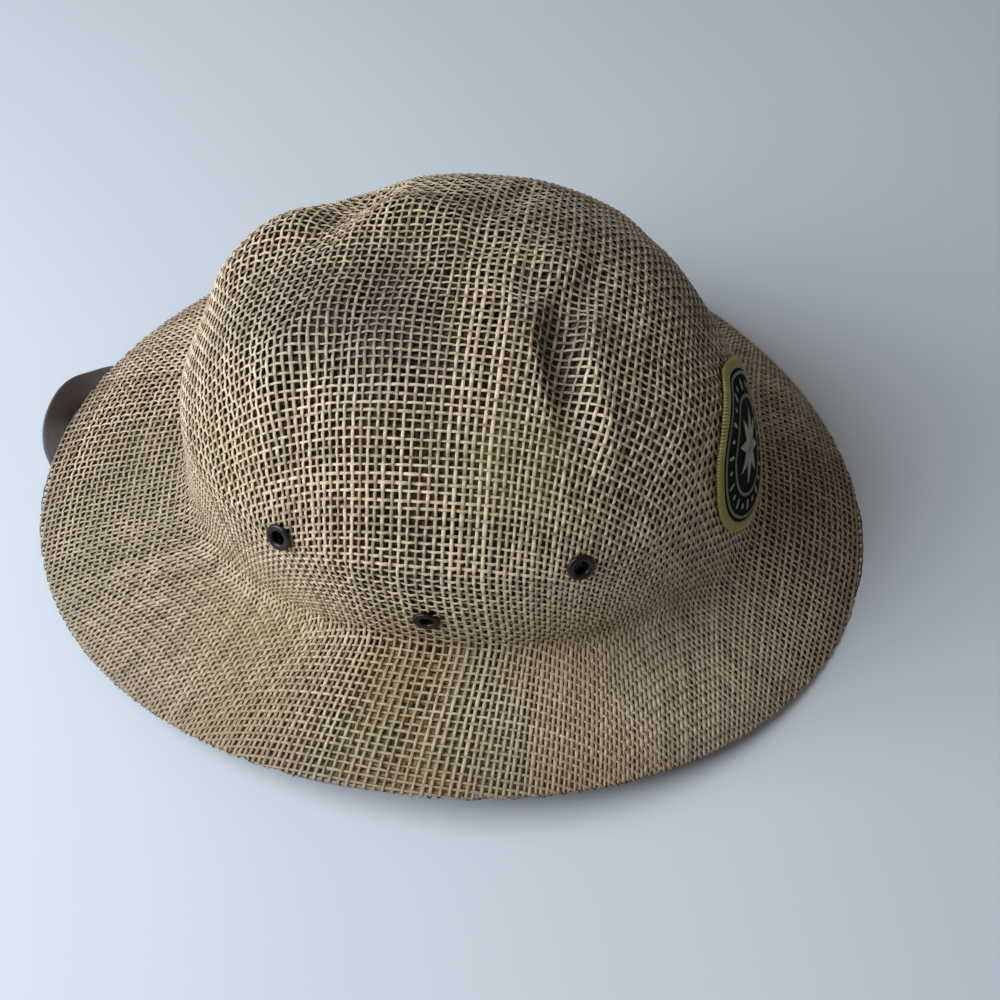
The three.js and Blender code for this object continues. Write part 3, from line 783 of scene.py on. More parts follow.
def tube(rings: Array, closed: bool = False) -> tuple[Array, Array, Array]:
    """Closed tube whose sections follow each other.

    Args:
        rings: points shaped (sections, sides, 3).
        closed: whether the last section joins the first; otherwise both ends are capped.
    Returns:
        Points, quads and the triangles of the caps.
    """
    n, m = rings.shape[:2]
    i = np.arange(n if closed else n - 1)[:, None]
    j = np.arange(m)[None, :]
    a, b = i * m, ((i + 1) % n) * m
    k = (j + 1) % m
    quads = np.stack([a + j, b + j, b + k, a + k], -1).reshape(-1, 4)
    if closed:
        return rings.reshape(-1, 3), quads, np.zeros((0, 3), int)
    f = np.arange(1, m - 1)
    end = (n - 1) * m
    first = np.stack([0 * f, f, f + 1], -1)
    last = np.stack([end + 0 * f, end + f + 1, end + f], -1)
    return rings.reshape(-1, 3), quads, np.concatenate([first, last])


def swept(*rings: Array, closed: bool = False, tone: Array | None = None) -> Patchwork:
    """Gathers tubes as one mesh.

    Args:
        rings: the sections of each tube.
        closed: whether the tubes are rings.
        tone: tone of each tube's vertices.
    Returns:
        The mesh.
    """
    work = Patchwork()
    for each in rings:
        work.add(*tube(each, closed), tone=tone)
    return work


def circle(steps: int) -> Array:
    """Equal steps once round, in radians, without the last."""
    return 2 * np.pi * np.arange(steps) / steps


# The weave
class Family(Enum):
    """The two directions of threads in a plain weave."""

    WARP = 1
    WEFT = -1


@dataclass(frozen=True)
class Ply:
    """One layer of woven mesh."""

    name: str
    depth: float          # middle of the layer below the hat's outside
    pitch: float          # thread spacing
    warp_width: float     # width of the threads along q
    weft_width: float     # width of the threads along p
    height: float         # thread thickness
    wave: float           # half the rise and fall over and under
    samples: int          # sections per crossing
    section: tuple[tuple[float, float], ...]  # corners of a thread, in half widths and half heights
    hem: float            # how far the threads turn back under the rim
    turn: float           # rotation of the cloth on the block, radians
    offset: tuple[float, float]
    seed: int


FLAT_STRAW = ((1.0, -0.35), (0.60, 0.86), (-0.60, 0.86), (-1.0, -0.35))
THIN_STRAW = ((1.0, 0.0), (0.0, 1.0), (-1.0, 0.0), (0.0, -1.0))
OUTER_PLY = Ply("outer", depth=0.66, pitch=2.92, warp_width=1.30, weft_width=1.08, height=0.52, wave=0.36,
                samples=2, section=FLAT_STRAW, hem=8.5, turn=0.0, offset=(0.0, 0.0), seed=7)
INNER_PLY = Ply("inner", depth=1.75, pitch=3.40, warp_width=2.60, weft_width=2.45, height=0.46, wave=0.24,
                samples=1, section=THIN_STRAW, hem=-1.0, turn=0.012, offset=(0.42, 0.38), seed=19)


class Weave:
    """Lays the threads of a ply on the hat.

    The cloth's square grid (p, q) is set on the block by polar coordinates: the distance from the top
    is kept along every meridian, and the bearing is theta' = theta - A / 4 sin(4 theta), where
    1 - A is the surface's girth over the flat cloth's at that distance. So threads keep their spacing
    on the four sides and crowd together and shear between them, as blocked cloth does.
    """

    STRETCH = 0.16                  # how far the cloth is drawn out at the rim
    LONGEST = 268.0                 # a little over the way from the top to the rim
    ROUNDS = 12                     # steps in which the bearing is found
    DAMPING = 0.7
    MOST_SLACK = 0.8
    # push and length of a thread's own waves, then push and lengths of the waves of the cloth
    WAVERS = ((0.16, 31.0), (0.10, 13.0), (0.08, 6.0))
    DRIFTS = ((0.9, 47.0, 61.0), (0.6, 29.0, -37.0))
    UNDERSIDE = 2.3                 # depth of the turned edge
    FOLD = (1.0, 2.0)               # where the edge starts to turn before the rim, and over how long
    HEM_BAND = (3.0, 14.0)          # middle and half width of the tinted band inside the rim
    RIM_BAND = (9.0, 0.4)           # width and strength of the band that grows towards the rim
    PRESSED = 0.45                  # how much flatter the edge is pressed
    HOLE_DEPTH = 8.0
    CROWDED = 0.84                  # a thread's widest share of the gap to its neighbours
    SHEARED = 0.25                  # the same where the threads run askew
    NARROWEST = 0.22
    UNDULATION = (0.05, 9.0)        # rise and length of the slow wave off the surface
    WIDTH_WAVE = (0.08, 4.1)        # share and length of a thread's slow change of width
    WIDTH_SPREAD = (0.08, 0.07)     # spread of width from thread to thread and crossing to crossing
    THICK_SPREAD = 0.08
    TONE_WAVE = (0.10, 23.0)
    TONE_SPREAD = (0.15, 0.12)
    CROSSING_SHADE = 0.16                # painted light and shade: how much lighter a thread is painted where it lies on top, and darker where it dips under
    FLOOR = 0.03                    # lowest height of a thread

    def __init__(self, surface: HatSurface, holes: list[Place], hole_radius: float) -> None:
        """Sets up the weave.

        Args:
            surface: the hat it lies on.
            holes: places of the eyelets.
            hole_radius: radius kept free round each.
        """
        self.surface = surface
        self.holes = holes
        self.hole_radius = hole_radius
        self.profile_t = np.linspace(0, 1, surface.DOWN + 1)

    def _bearing(self, p: Array, q: Array) -> tuple[Array, Array]:
        """Sets cloth points on the block.

        Args:
            p: cloth coordinate ahead.
            q: cloth coordinate to the left.
        Returns:
            theta, and the distance from the top in the cloth.
        """
        s = self.surface
        far = np.hypot(p, q)
        flat = np.arctan2(q, p)
        th = flat.copy()
        for _ in range(self.ROUNDS):
            t = np.clip(far / s.rim_reach(th), 0, 1)
            side = np.interp(t, self.profile_t, s.side_girth)
            rear = np.interp(t, self.profile_t, s.rear_girth)
            girth = rear * np.cos(th) ** 2 + side * np.sin(th) ** 2
            cloth = np.maximum(far * (1 + self.STRETCH * t ** 3), 1)
            slack = np.clip(1 - girth / cloth, 0, self.MOST_SLACK)
            th = th + self.DAMPING * (flat - (th - slack / 4 * np.sin(4 * th)))
        return th, far

    def _positions(self, ply: Ply, p: Array, q: Array) -> tuple[Array, Array, Array, Array]:
        """Lays cloth points on the hat, turned back under the rim where the ply has a hem.

        Args:
            ply: the layer.
            p: cloth coordinate ahead.
            q: cloth coordinate to the left.
        Returns:
            Middle of the layer, normal, whether there is cloth, and how near the rim it is.
        """
        s = self.surface
        th, far = self._bearing(p, q)
        reach = s.rim_reach(th)
        past = far - reach
        t = np.where(past > 0, 2 * reach - far, far) / reach
        n = s.normal(th, t)
        at = s.point(th, t)
        if ply.hem > 0:
            # depth goes from the outer layer to the underside over a short arc
            before, over = self.FOLD
            turn = np.clip((past + before) / over, 0, 1)
            turn = turn * turn * (3 - 2 * turn)
            at = at - n * (ply.depth + (self.UNDERSIDE - ply.depth) * turn)[..., None]
            n = n * np.where(turn > 0.5, -1.0, 1.0)[..., None]
        else:
            at = at - n * ply.depth
        keep = past < ply.hem
        middle, half = self.HEM_BAND
        band, strength = self.RIM_BAND
        edge = (np.clip(1 - np.abs(past + middle) / half, 0, 1)
                + np.clip((past + band) / band, 0, 1) * strength)
        for hole in self.holes:
            d = at - hole.at
            level = d @ hole.out
            radius = np.linalg.norm(d - level[..., None] * hole.out, axis=-1)
            keep &= ~((radius < self.hole_radius) & (np.abs(level) < self.HOLE_DEPTH))
        return at, n, keep, np.clip(edge, 0, 1)

    def _plan(self, ply: Ply, family: Family, line: Array, run: Array,
              phase: Array) -> tuple[Array, Array]:
        """Plan of the threads in the cloth, each with slow sine waves across its run.

        Args:
            ply: the layer.
            family: direction of the threads.
            line: where each thread lies, across the family.
            run: positions along a thread.
            phase: three phases for each thread.
        Returns:
            Cloth coordinates p and q, shaped (threads, positions).
        """
        a, b = np.meshgrid(line, run, indexing="ij")
        waver = sum(push * np.sin(b / length + phase[:, [i]])
                    for i, (push, length) in enumerate(self.WAVERS))
        drift = sum(push * np.sin(a / across + b / along + start)
                    for (push, across, along), start in zip(self.DRIFTS, (ply.seed, 0)))
        a = a + waver + drift
        p, q = (a, b) if family is Family.WARP else (b, a)
        c, s = np.cos(ply.turn), np.sin(ply.turn)
        return c * p - s * q, s * p + c * q

    def _half_widths(self, width: float, at: Array, across: Array) -> Array:
        """Half widths of the threads, less where their neighbours crowd them.

        Args:
            width: a free thread's width.
            at: middles of the threads.
            across: directions across them.
        Returns:
            Half width at each point.
        """
        step = np.gradient(at, axis=0)
        near = np.linalg.norm(step * across, axis=-1)
        gap = np.abs(np.einsum("ijk,ijk->ij", step, across))
        return 0.5 * np.minimum(width, self.CROWDED * np.maximum(gap, self.SHEARED * near))

    def lay(self, ply: Ply, family: Family, material: Material) -> None:
        """Builds the threads of one family of a ply as two meshes.

        A thread's middle rises and falls by wave cos(pi m / samples), with the sign of its number, and
        every crossing has its own small change of width and tone.

        Args:
            ply: the layer.
            family: warp runs along q, weft along p.
            material: its straw.
        """
        rng = np.random.default_rng(ply.seed + family.value)
        count = int(self.LONGEST / ply.pitch)
        number = np.arange(-count, count)
        m = np.arange(-count * ply.samples, count * ply.samples)
        line = (number + 0.5 + ply.offset[0]) * ply.pitch
        run = ply.pitch * (m / ply.samples + 0.5 + ply.offset[1])
        phase = rng.uniform(0, 2 * np.pi, (len(line), 3))
        at, n, keep, edge = self._positions(ply, *self._plan(ply, family, line, run, phase))
        parity = np.where(number % 2 == 0, 1.0, -1.0)[:, None] * family.value
        lift = ply.wave * np.cos(np.pi * m / ply.samples)[None, :] * parity * (1 - self.PRESSED * edge)
        across = unit(np.cross(n, unit(np.gradient(at, axis=1))))
        width = ply.warp_width if family is Family.WARP else ply.weft_width
        uneven, speckle = np.repeat(rng.standard_normal((2, len(line), 2 * count)), ply.samples, axis=2)
        widths, waves, tones = (share * np.sin(run / length + phase[:, [i]]) for i, (share, length)
                                in enumerate((self.WIDTH_WAVE, self.UNDULATION, self.TONE_WAVE)))
        by_thread, by_crossing = self.WIDTH_SPREAD
        swell = 1 + widths + by_thread * rng.standard_normal((len(line), 1)) + by_crossing * uneven
        half = np.clip(self._half_widths(width, at, across) * swell, self.NARROWEST, None)
        thick = 0.5 * ply.height * (1 + self.THICK_SPREAD * rng.standard_normal((len(line), 1)))
        centre = at + n * lift[..., None]
        centre += n * waves[..., None]
        wide, tall = np.array(ply.section).T
        rings = (centre[:, :, None, :] + across[:, :, None, :] * (half[..., None] * wide)[..., None]
                 + n[:, :, None, :] * (thick[..., None] * tall)[..., None])
        rings[..., 2] = np.maximum(rings[..., 2], self.FLOOR)
        by_thread, by_crossing = self.TONE_SPREAD
        # the lift term is painted light on the threads lying on top and painted shade where they dip
        # under
        tone = np.clip(0.5 + by_thread * rng.standard_normal(len(line))[:, None] + by_crossing * speckle
                       + tones + self.CROSSING_SHADE * lift / ply.wave, 0, 1)
        for part, threads in (("a", range(0, count)), ("b", range(count, 2 * count))):
            name = f"straw_{ply.name}_{family.name.lower()}_{part}"
            work = self._threads(threads, rings, run, keep, tone, edge)
            work.make(name, material, Slot.STRAW, "woven_shell")

    @staticmethod
    def _threads(threads: range, rings: Array, run: Array, keep: Array, tone: Array,
                 edge: Array) -> Patchwork:
        """Gathers threads as capped tubes, one for each stretch of cloth that they cross.

        Args:
            threads: their numbers.
            rings: sections shaped (threads, positions, sides, 3).
            run: positions along the threads.
            keep: whether there is cloth.
            tone: tone of the straw.
            edge: how near the rim it is.
        Returns:
            The gathered meshes.
        """
        work = Patchwork()
        sides = rings.shape[2]
        for i in threads:
            there = np.flatnonzero(keep[i])
            for span in np.split(there, np.flatnonzero(np.diff(there) > 1) + 1):
                if len(span) < 3:
                    continue
                turn = np.tile(np.arange(sides) / sides + 3.1 * i, len(span))
                uv = np.stack([np.repeat(run[span], sides), turn], -1)
                work.add(*tube(rings[i, span]), uv, np.repeat(tone[i, span], sides),
                         np.repeat(edge[i, span], sides))
        return work


# Eyelets
@dataclass(frozen=True)
class EyeletSizes:
    """Sizes of a vent eyelet, and where the eyelets sit."""

    outer: float = 10.0
    hole: float = 4.8
    tube: float = 6.0
    side_height: float = 47.0
    mid_height: float = 22.0
    spread: float = 50.5
    mid_ahead: float = 7.0
    stand: float = 0.55         # how far the flange stands off the cloth
    roll: float = 1.05          # height of the rolled flange
    least_depth: float = 3.4    # shortest way through the wall
    foot: float = 0.6           # height of the turned foot inside
    sides: int = 56


# An eyelet's profile under its roll: which width it starts from, step out, which end, step up
EYELET_PROFILE = (
    ("outer", -0.5, "flange", -0.05), ("tube", 0.25, "flange", -0.1), ("tube", 0.0, "flange", -0.5),
    ("tube", 0.0, "foot", 0.3), ("outer", -0.8, "foot", 0.1), ("outer", -0.6, "foot", -0.25),
    ("outer", -1.1, "foot", -0.6), ("hole", 0.3, "foot", -0.6), ("hole", 0.0, "foot", -0.2),
)


class Eyelets:
    """Six rolled metal eyelets, three on each side."""

    def __init__(self, surface: HatSurface, sizes: EyeletSizes) -> None:
        """Finds the places of the eyelets.

        Args:
            surface: the hat they sit in.
            sizes: their sizes and where they sit.
        """
        self.sizes = sizes
        self.places: dict[str, Place] = {}
        base = surface.s.crease_height
        for side_name, side in (("right", -1), ("left", 1)):
            for spot, step in (("rear", -1), ("middle", 0), ("front", 1)):
                height = base + (sizes.mid_height if step == 0 else sizes.side_height)
                x = sizes.mid_ahead + step * sizes.spread + surface.shift
                self.places[f"eyelet_{side_name}_{spot}"] = surface.place_at_x(x, height, side)

    def _profile(self, deep: float) -> Array:
        """Profile of an eyelet: a half oval for its roll, then the rows of the table.

        Args:
            deep: how far it goes through the wall.
        Returns:
            Radii and heights.
        """
        z = self.sizes
        half = (z.outer - z.hole) / 4
        roll = [(z.hole / 2 + half - half * np.cos(a), z.stand + z.roll * np.sin(a) ** 0.8)
                for a in np.linspace(0, np.pi, 9)]
        ends = {"flange": z.stand, "foot": -deep}
        return np.array(roll + [(getattr(z, width) / 2 + out, ends[end] + up)
                                for width, out, end, up in EYELET_PROFILE])

    def make(self, material: Material) -> None:
        """Turns the profile about each eyelet's axis, as long as its CAD piece.

        Args:
            material: their metal.
        """
        z = self.sizes
        turn = circle(z.sides)[:, None]
        for name, place in self.places.items():
            middle = np.mean(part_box(name), axis=0) / MM
            deep = max(z.least_depth, 2 * abs((middle - place.at) @ place.out) - z.foot)
            profile = self._profile(deep)
            arm = np.cos(turn) * place.along + np.sin(turn) * place.up
            rings = place.at + arm[:, None, :] * profile[:, [0]] + place.out * profile[:, [1]]
            swept(rings, closed=True).make(f"{name}_metal", material, Slot.METAL, name)


# Patch
@dataclass(frozen=True)
class PatchSizes:
    """Sizes of the round embroidered patch, radii and lengths in millimetres."""

    diameter: float = 62.0
    height: float = 35.0
    bearing: float = -6.0           # degrees
    thickness: float = 1.2
    border: float = 3.8
    border_height: float = 2.0
    border_wraps: int = 160
    lift: float = 0.7
    star: float = 27.0
    star_inner: float = 0.42
    points: int = 8
    ring_cords: tuple[tuple[float, float], ...] = ((17.6, 1.2), (25.6, 1.1))    # radius and width
    ring_wraps: int = 130
    bars: int = 24
    bar_circle: float = 21.6
    bar_lengths: tuple[float, float] = (2.2, 4.0)
    bar_half: float = 0.70


class Patch:
    """A dark field with an overlocked border, two rings, a ring of bars and an eight-pointed star."""

    FIELD_STEPS = (200, 50)         # round the field, and from its middle out
    RIBS = ((0.07, 3.4), (0.02, 4.6))   # height and closeness of the cloth's ribs and cross ribs
    RIB_SLANT = 0.6
    WRAP_STEPS = 8                  # sections of the border for each wrap
    SIDES = 10                      # corners of a cord's section
    LAP = 0.1                       # how far the border laps over the cloth
    SQUARED = 0.8                   # power that fills out the border's section
    WRAP_WIDTH = (0.93, 0.07)       # share of the border's width between wraps, and what a wrap adds
    WRAP_HEIGHT = (0.72, 0.28)
    BORDER_MIDDLE = 0.47            # share of the border's height at which its section is widest
    BORDER_SLANT = 0.020            # radians that a wrap leans across the border
    WRAP_SHADE = (0.08, 0.72)      # painted shade: tone between wraps, and the painted light that a wrap's top adds
    CORD_HALF = 0.28                # half a cord's height over its width
    CORD_SWELL = 0.10
    CORD_SLANT = 0.35
    STAR_STEPS = (12, 24)           # along each edge of a ray, and from the middle out
    STAR_STAND = (0.1, 0.5)         # underside and top over the cloth
    RIDGE = 0.45
    STITCHES = (0.05, 13)           # height and closeness of the star's stitches
    BAR_STEPS = (15, 8)             # along a bar and round it
    BAR_WAVES = (0.07, 9)           # share and number of the stitches that wave its width
    BAR_STAND = 0.15

    def __init__(self, surface: HatSurface, sizes: PatchSizes) -> None:
        """Finds the place of the patch.

        Args:
            surface: the hat it is sewn to.
            sizes: its sizes and where it sits.
        """
        th = np.radians(sizes.bearing)
        self.surface = surface
        self.z = sizes
        self.inner = sizes.diameter / 2 - sizes.border
        self.top = sizes.lift + sizes.thickness
        self.place = surface.place(th, surface.t_at_height(th, surface.s.crease_height + sizes.height))

    def _polar(self, r: Array, angle: Array, height: Array) -> Array:
        """Points on the patch at radius r and that angle, height off the cloth."""
        return self.surface.over(self.place, r * np.cos(angle), r * np.sin(angle), height)

    def _plate(self, radius: Array, rings: int, low: float, high: float,
               bump: Callable[[Array, Array], Array]) -> Patchwork:
        """Curved plate from the middle out, closed by its underside and its edge.

        Args:
            radius: its outline over equal steps round.
            rings: steps from the middle out.
            low: height of its underside off the cloth.
            high: height of its top.
            bump: relief of the top over (p, q).
        Returns:
            The mesh.
        """
        steps = len(radius)
        a = circle(steps)
        r = radius[None, :] * (np.arange(1, rings + 1) / rings)[:, None]
        rise = bump(r * np.cos(a), r * np.sin(a))
        layers = []
        for middle, height in ((high, high + rise), (low, np.full(r.shape, low))):
            layers += [self._polar(np.zeros(1), np.zeros(1), np.array([middle])),
                       self._polar(r, a, height).reshape(-1, 3)]
        points = np.concatenate(layers)
        start = 1 + rings * steps
        i = np.arange(steps)
        j = (i + 1) % steps
        at = (np.arange(rings - 1) * steps + 1)[:, None]
        up = np.stack([at + i, at + steps + i, at + steps + j, at + j], -1).reshape(-1, 4)
        edge = (rings - 1) * steps + 1
        side = np.stack([edge + i, start + edge + i, start + edge + j, edge + j], -1)
        cap = np.stack([0 * i, 1 + i, 1 + j], -1)
        work = Patchwork()
        work.add(points, np.concatenate([up, start + up[:, ::-1], side]),
                 np.concatenate([cap, start + cap[:, ::-1]]))
        return work

    def _field(self, material: Material) -> None:
        """The dark cloth, its top ribbed by two crossing sine waves.

        Args:
            material: its cloth.
        """
        (high, close), (low, closer) = self.RIBS
        steps, rings = self.FIELD_STEPS

        def twill(p: Array, q: Array) -> Array:
            """Height of the ribs at (p, q)."""
            return high * np.sin((p + self.RIB_SLANT * q) * close) + low * np.sin((p - q) * closer)

        self._plate(np.full(steps, self.inner), rings, self.z.lift, self.top, twill).make(
            "patch_field_cloth", material, Slot.PATCH, "patch_field")

    def _border(self, material: Material) -> None:
        """The overlocked border: a filled-out oval section that swells with each slanted wrap.

        Args:
            material: its thread.
        """
        z = self.z
        a = circle(self.WRAP_STEPS * z.border_wraps)
        f = circle(self.SIDES)
        wrap = np.abs(np.sin(z.border_wraps * a / 2))[:, None]
        wide, tall = (least + more * wrap for least, more in (self.WRAP_WIDTH, self.WRAP_HEIGHT))
        half = (z.border + 2 * self.LAP) / 2
        side = half * np.sign(np.cos(f)) * np.abs(np.cos(f)) ** self.SQUARED
        middle = self.BORDER_MIDDLE
        height = z.lift + z.border_height * (middle + middle * np.sin(f) * tall)
        angle = a[:, None] + self.BORDER_SLANT * np.cos(f)[None, :]
        rings = self._polar(self.inner + half - self.LAP + side * wide, angle, height)
        between, on_top = self.WRAP_SHADE
        own = np.random.default_rng(5).normal(0, 0.08, z.border_wraps).repeat(self.WRAP_STEPS)
        # dark between the wraps and light on their tops is painted shade and light; each wrap's own
        # random tone is added to it
        tone = np.repeat(between + on_top * wrap[:, 0] + own, len(f))
        swept(rings, closed=True, tone=tone).make(
            "patch_border_thread", material, Slot.BORDER, "patch_border")

    def _star(self, material: Material) -> None:
        """The star, whose radius falls as 1 / (1 + ray (1 / inner - 1)) from a tip to the next notch.

        Args:
            material: its thread.
        """
        z = self.z
        along, out = self.STAR_STEPS
        n = along * 2 * z.points
        ray = np.abs(((np.arange(n) / n * 2 * z.points + 1) % 2) - 1)
        radius = z.star / 2 * (1.0 / (1 + ray * (1 / z.star_inner - 1)))
        low, high = self.STAR_STAND
        rise, close = self.STITCHES

        def satin(p: Array, q: Array) -> Array:
            """Height at (p, q) of a ridge down the middle of every ray, with fine rings of stitches."""
            b = np.arctan2(q, p) * z.points / (2 * np.pi)
            fold = 1 - 2 * np.abs(b - np.round(b))
            far = np.hypot(p, q)
            ridge = self.RIDGE * fold * np.clip(1 - far / (z.star / 2), 0, 1) ** 0.5
            return ridge + rise * np.sin(far * close)

        self._plate(radius, out, self.top + low, self.top + high, satin).make(
            "patch_star_thread", material, Slot.PALE, "patch_star")

    def _rings(self, material: Material) -> None:
        """Two rings of wrapped thread, their flattened sections swelling with each wrap.

        Args:
            material: their thread.
        """
        a = circle(4 * self.z.ring_wraps)[:, None]
        f = circle(self.SIDES)[None, :]
        wrap = 1 + self.CORD_SWELL * np.abs(np.sin(self.z.ring_wraps * a / 2))
        rings = []
        for radius, width in self.z.ring_cords:
            r = radius + width / 2 * np.cos(f) * wrap
            half = width * self.CORD_HALF
            height = self.top - self.LAP + half + half * np.sin(f) * wrap
            slant = (self.CORD_SLANT * width / radius) * np.cos(f)
            rings.append(self._polar(r, a + slant, height))
        swept(*rings, closed=True).make("patch_rings_thread", material, Slot.BORDER, "patch_star")

    def _bars(self, material: Material) -> None:
        """Satin bars, long and short by turns: half width sqrt(1 - s^4) along s, waved by stitches.

        Args:
            material: their thread.
        """
        z = self.z
        along, sides = self.BAR_STEPS
        share, waves = self.BAR_WAVES
        s = np.linspace(-1, 1, along)[:, None]
        f = circle(sides)
        oval = np.sqrt(np.clip(1 - s ** 4, 0.02, 1))
        wide = z.bar_half * oval * (1 + share * np.cos(waves * np.pi * s))
        off = wide * np.cos(f)
        height = self.top + self.BAR_STAND + self.RIDGE * wide * np.sin(f)
        bars = []
        for k in range(z.bars):
            b = 2 * np.pi * (k + 0.5) / z.bars
            r = z.bar_circle + z.bar_lengths[k % 2] / 2 * s + 0 * f
            p = r * np.cos(b) - off * np.sin(b)
            q = r * np.sin(b) + off * np.cos(b)
            bars.append(self.surface.over(self.place, p, q, height))
        swept(*bars).make("patch_bars_thread", material, Slot.PALE, "patch_star")

    def make(self, cloth: Material, border: Material, pale: Material,
             green: Material) -> None:
        """Builds the patch's pieces.

        Args:
            cloth: the field's material.
            border: the overlocked border's.
            pale: the star's and the bars'.
            green: the rings'.
        """
        self._field(cloth)
        self._border(border)
        self._star(pale)
        self._rings(green)
        self._bars(pale)


# Strap
STRAP_ROWS = np.array([
    # ahead share, left share, lift as a share of the crease's height, turn degrees, lean degrees
    [0.000, -0.540, 0.824, 4, 0], [-0.080, -0.460, 0.400, 28, 0], [-0.210, -0.370, 0.097, 52, 0],
    [-0.400, -0.245, 0.000, 66, 0], [-0.620, -0.160, 0.000, 70, 0], [-0.820, -0.100, 0.000, 66, 0],
    [-0.930, -0.050, 0.000, 56, 0], [-0.986, 0.020, 0.000, 42, 0], [-1.010, 0.085, 0.048, 20, 20],
    [-1.014, 0.156, 0.133, 0, 56], [-1.000, 0.228, 0.115, -30, 48], [-0.964, 0.300, 0.024, -50, 10],
    [-0.916, 0.338, 0.000, -66, 0], [-0.800, 0.360, 0.000, -80, 0], [-0.620, 0.355, 0.000, -88, 0],
    [-0.400, 0.350, 0.000, -72, 0], [-0.210, 0.400, 0.097, -50, 0], [-0.080, 0.475, 0.400, -26, 0],
    [0.000, 0.545, 0.824, -4, 0],
])


@dataclass(frozen=True)
class StrapSizes:
    """Sizes of the chin strap."""

    width: float = 12.0
    thickness: float = 1.6
    seat: float = 1.0       # how far it stands off the wall's inside
    fall: float = 1.0       # how much further off it hangs under its eyelet
    hang: float = 10.0      # how far it hangs straight under the eyelet


class Strap:
    """The chin strap, swept along its route with rounded edges."""

    STEPS = 300
    SIDES = 20
    CORNERS = (2 / 7, 2 / 2.8)      # powers of a section |x / a|^7 + |y / b|^2.8 = 1
    TAPER = (5.0, 0.12)             # steps over which an end narrows, and its least share
    CLEAR = 0.5                     # least way past the wall
    FLOOR = 0.05                    # lowest height of the leather

    def __init__(self, surface: HatSurface, eyelets: Eyelets, sizes: StrapSizes) -> None:
        """Sets up the strap.

        Args:
            surface: the hat it belongs to.
            eyelets: the eyelets, whose middle ones hold it.
            sizes: its sizes.
        """
        self.surface = surface
        self.places = [eyelets.places["eyelet_right_middle"], eyelets.places["eyelet_left_middle"]]
        self.z = sizes

    def _ends(self, place: Place) -> list[tuple[Array, Array]]:
        """Three frames of the strap flat against the inside of the crown.

        Args:
            place: the eyelet that holds the end.
        Returns:
            Middle and width direction of each frame, from the end down.
        """
        z, s = self.z, self.surface.s
        out = []
        for rise in (z.width / 2 - 1, -z.width / 2 + 1, -z.hang):
            p = np.array([-1, 0, 1]) * z.width / 2
            th, t = self.surface.under(place, p, np.full(3, rise))
            inner = self.surface.point(th, t) - self.surface.normal(th, t) * s.wall
            deep = max(-((inner - place.at) @ place.out).min(), s.wall + self.CLEAR)
            deep += z.seat + z.thickness / 2 + (z.fall if rise < -z.width / 2 else 0)
            w = unit(np.array([1.0, 0, 0]) - place.out * place.out[0])
            out.append((place.at - place.out * deep + place.up * rise, w))
        return out

    def _route(self) -> tuple[Array, Array]:
        """Catmull-Rom curve through the frames of both ends and the rows between them.

        Returns:
            Centre line and width direction at each step.
        """
        s = self.surface.s
        rows = []
        for ahead, left, lift, turn, lean in STRAP_ROWS:
            c, e = np.cos(np.radians(lean)), np.sin(np.radians(lean))
            w = np.array([np.cos(np.radians(turn)) * c, np.sin(np.radians(turn)) * c, -e])
            x = ahead * s.brim_length / 2 + self.surface.shift
            height = lift * s.crease_height + self.z.thickness / 2
            rows.append((np.array([x, left * s.brim_width / 2, height]), w))
        frames = self._ends(self.places[0]) + rows + self._ends(self.places[1])[::-1]
        last = len(frames) - 1
        x = np.arange(self.STEPS) * last / (self.STEPS - 1)
        k = np.minimum(x.astype(int), last - 1)
        before, after = np.maximum(k - 1, 0), np.minimum(k + 2, last)
        centre, wide = (catmull(v[before], v[k], v[k + 1], v[after], (x - k)[:, None])
                        for v in (np.array(part) for part in zip(*frames)))
        return centre, wide

    def make(self, material: Material) -> float:
        """Sweeps the strap's section along its route.

        Args:
            material: its leather.
        Returns:
            Length of the centre line in millimetres.
        """
        centre, wide = self._route()
        along = unit(np.gradient(centre, axis=0))
        w = unit(wide - along * np.einsum("ij,ij->i", wide, along)[:, None])
        face = unit(np.cross(w, along))
        g = circle(self.SIDES)
        x, y = (np.sign(v) * np.abs(v) ** power for v, power in zip((np.cos(g), np.sin(g)), self.CORNERS))
        step = np.arange(self.STEPS)
        length, least = self.TAPER
        taper = np.clip(np.minimum(step, self.STEPS - 1 - step) / length, least, 1) ** 0.5
        rings = (centre[:, None, :] + w[:, None, :] * (self.z.width / 2 * taper[:, None] * x)[..., None]
                 + face[:, None, :] * (self.z.thickness / 2 * y)[None, :, None])
        rings[..., 2] = np.maximum(rings[..., 2], self.FLOOR)
        swept(rings).make("chin_strap_leather", material, Slot.STRAP, "chin_strap")
        return float(np.linalg.norm(np.diff(centre, axis=0), axis=1).sum())


# Studio
@dataclass(frozen=True)
class CameraSizes:
    """The photograph's camera, matched to the hat's outline."""

    elevation: float = 53.24
    azimuth: float = 7.46
    distance: float = 561.13
    target: tuple[float, float, float] = (23.73, -26.84, 40.0)
    focal_px: float = 1500.0
    picture_px: float = 1000.0
    sensor: float = 36.0


@dataclass(frozen=True)
class Lamp:
    """A soft square light aimed at the hat: metres, watts and colour."""

    name: str
    at: tuple[float, float, float]
    size: float
    power: float
    colour: Colour


WINDOW = Lamp("window", (-0.74, -0.32, 0.68), 0.95, 18.0, (0.77, 0.88, 1.0))
FILL = Lamp("fill", (-0.1, -1.5, 0.75), 1.2, 0.8, (0.97, 0.98, 1.0))
SKY = ((1.0, 0.99, 0.98), 0.17)                     # colour and strength
FLOOR_FINISH = ((0.68, 0.69, 0.705), 0.55, 0.25)    # colour, roughness and shine
FLOOR_HALF = 4.0


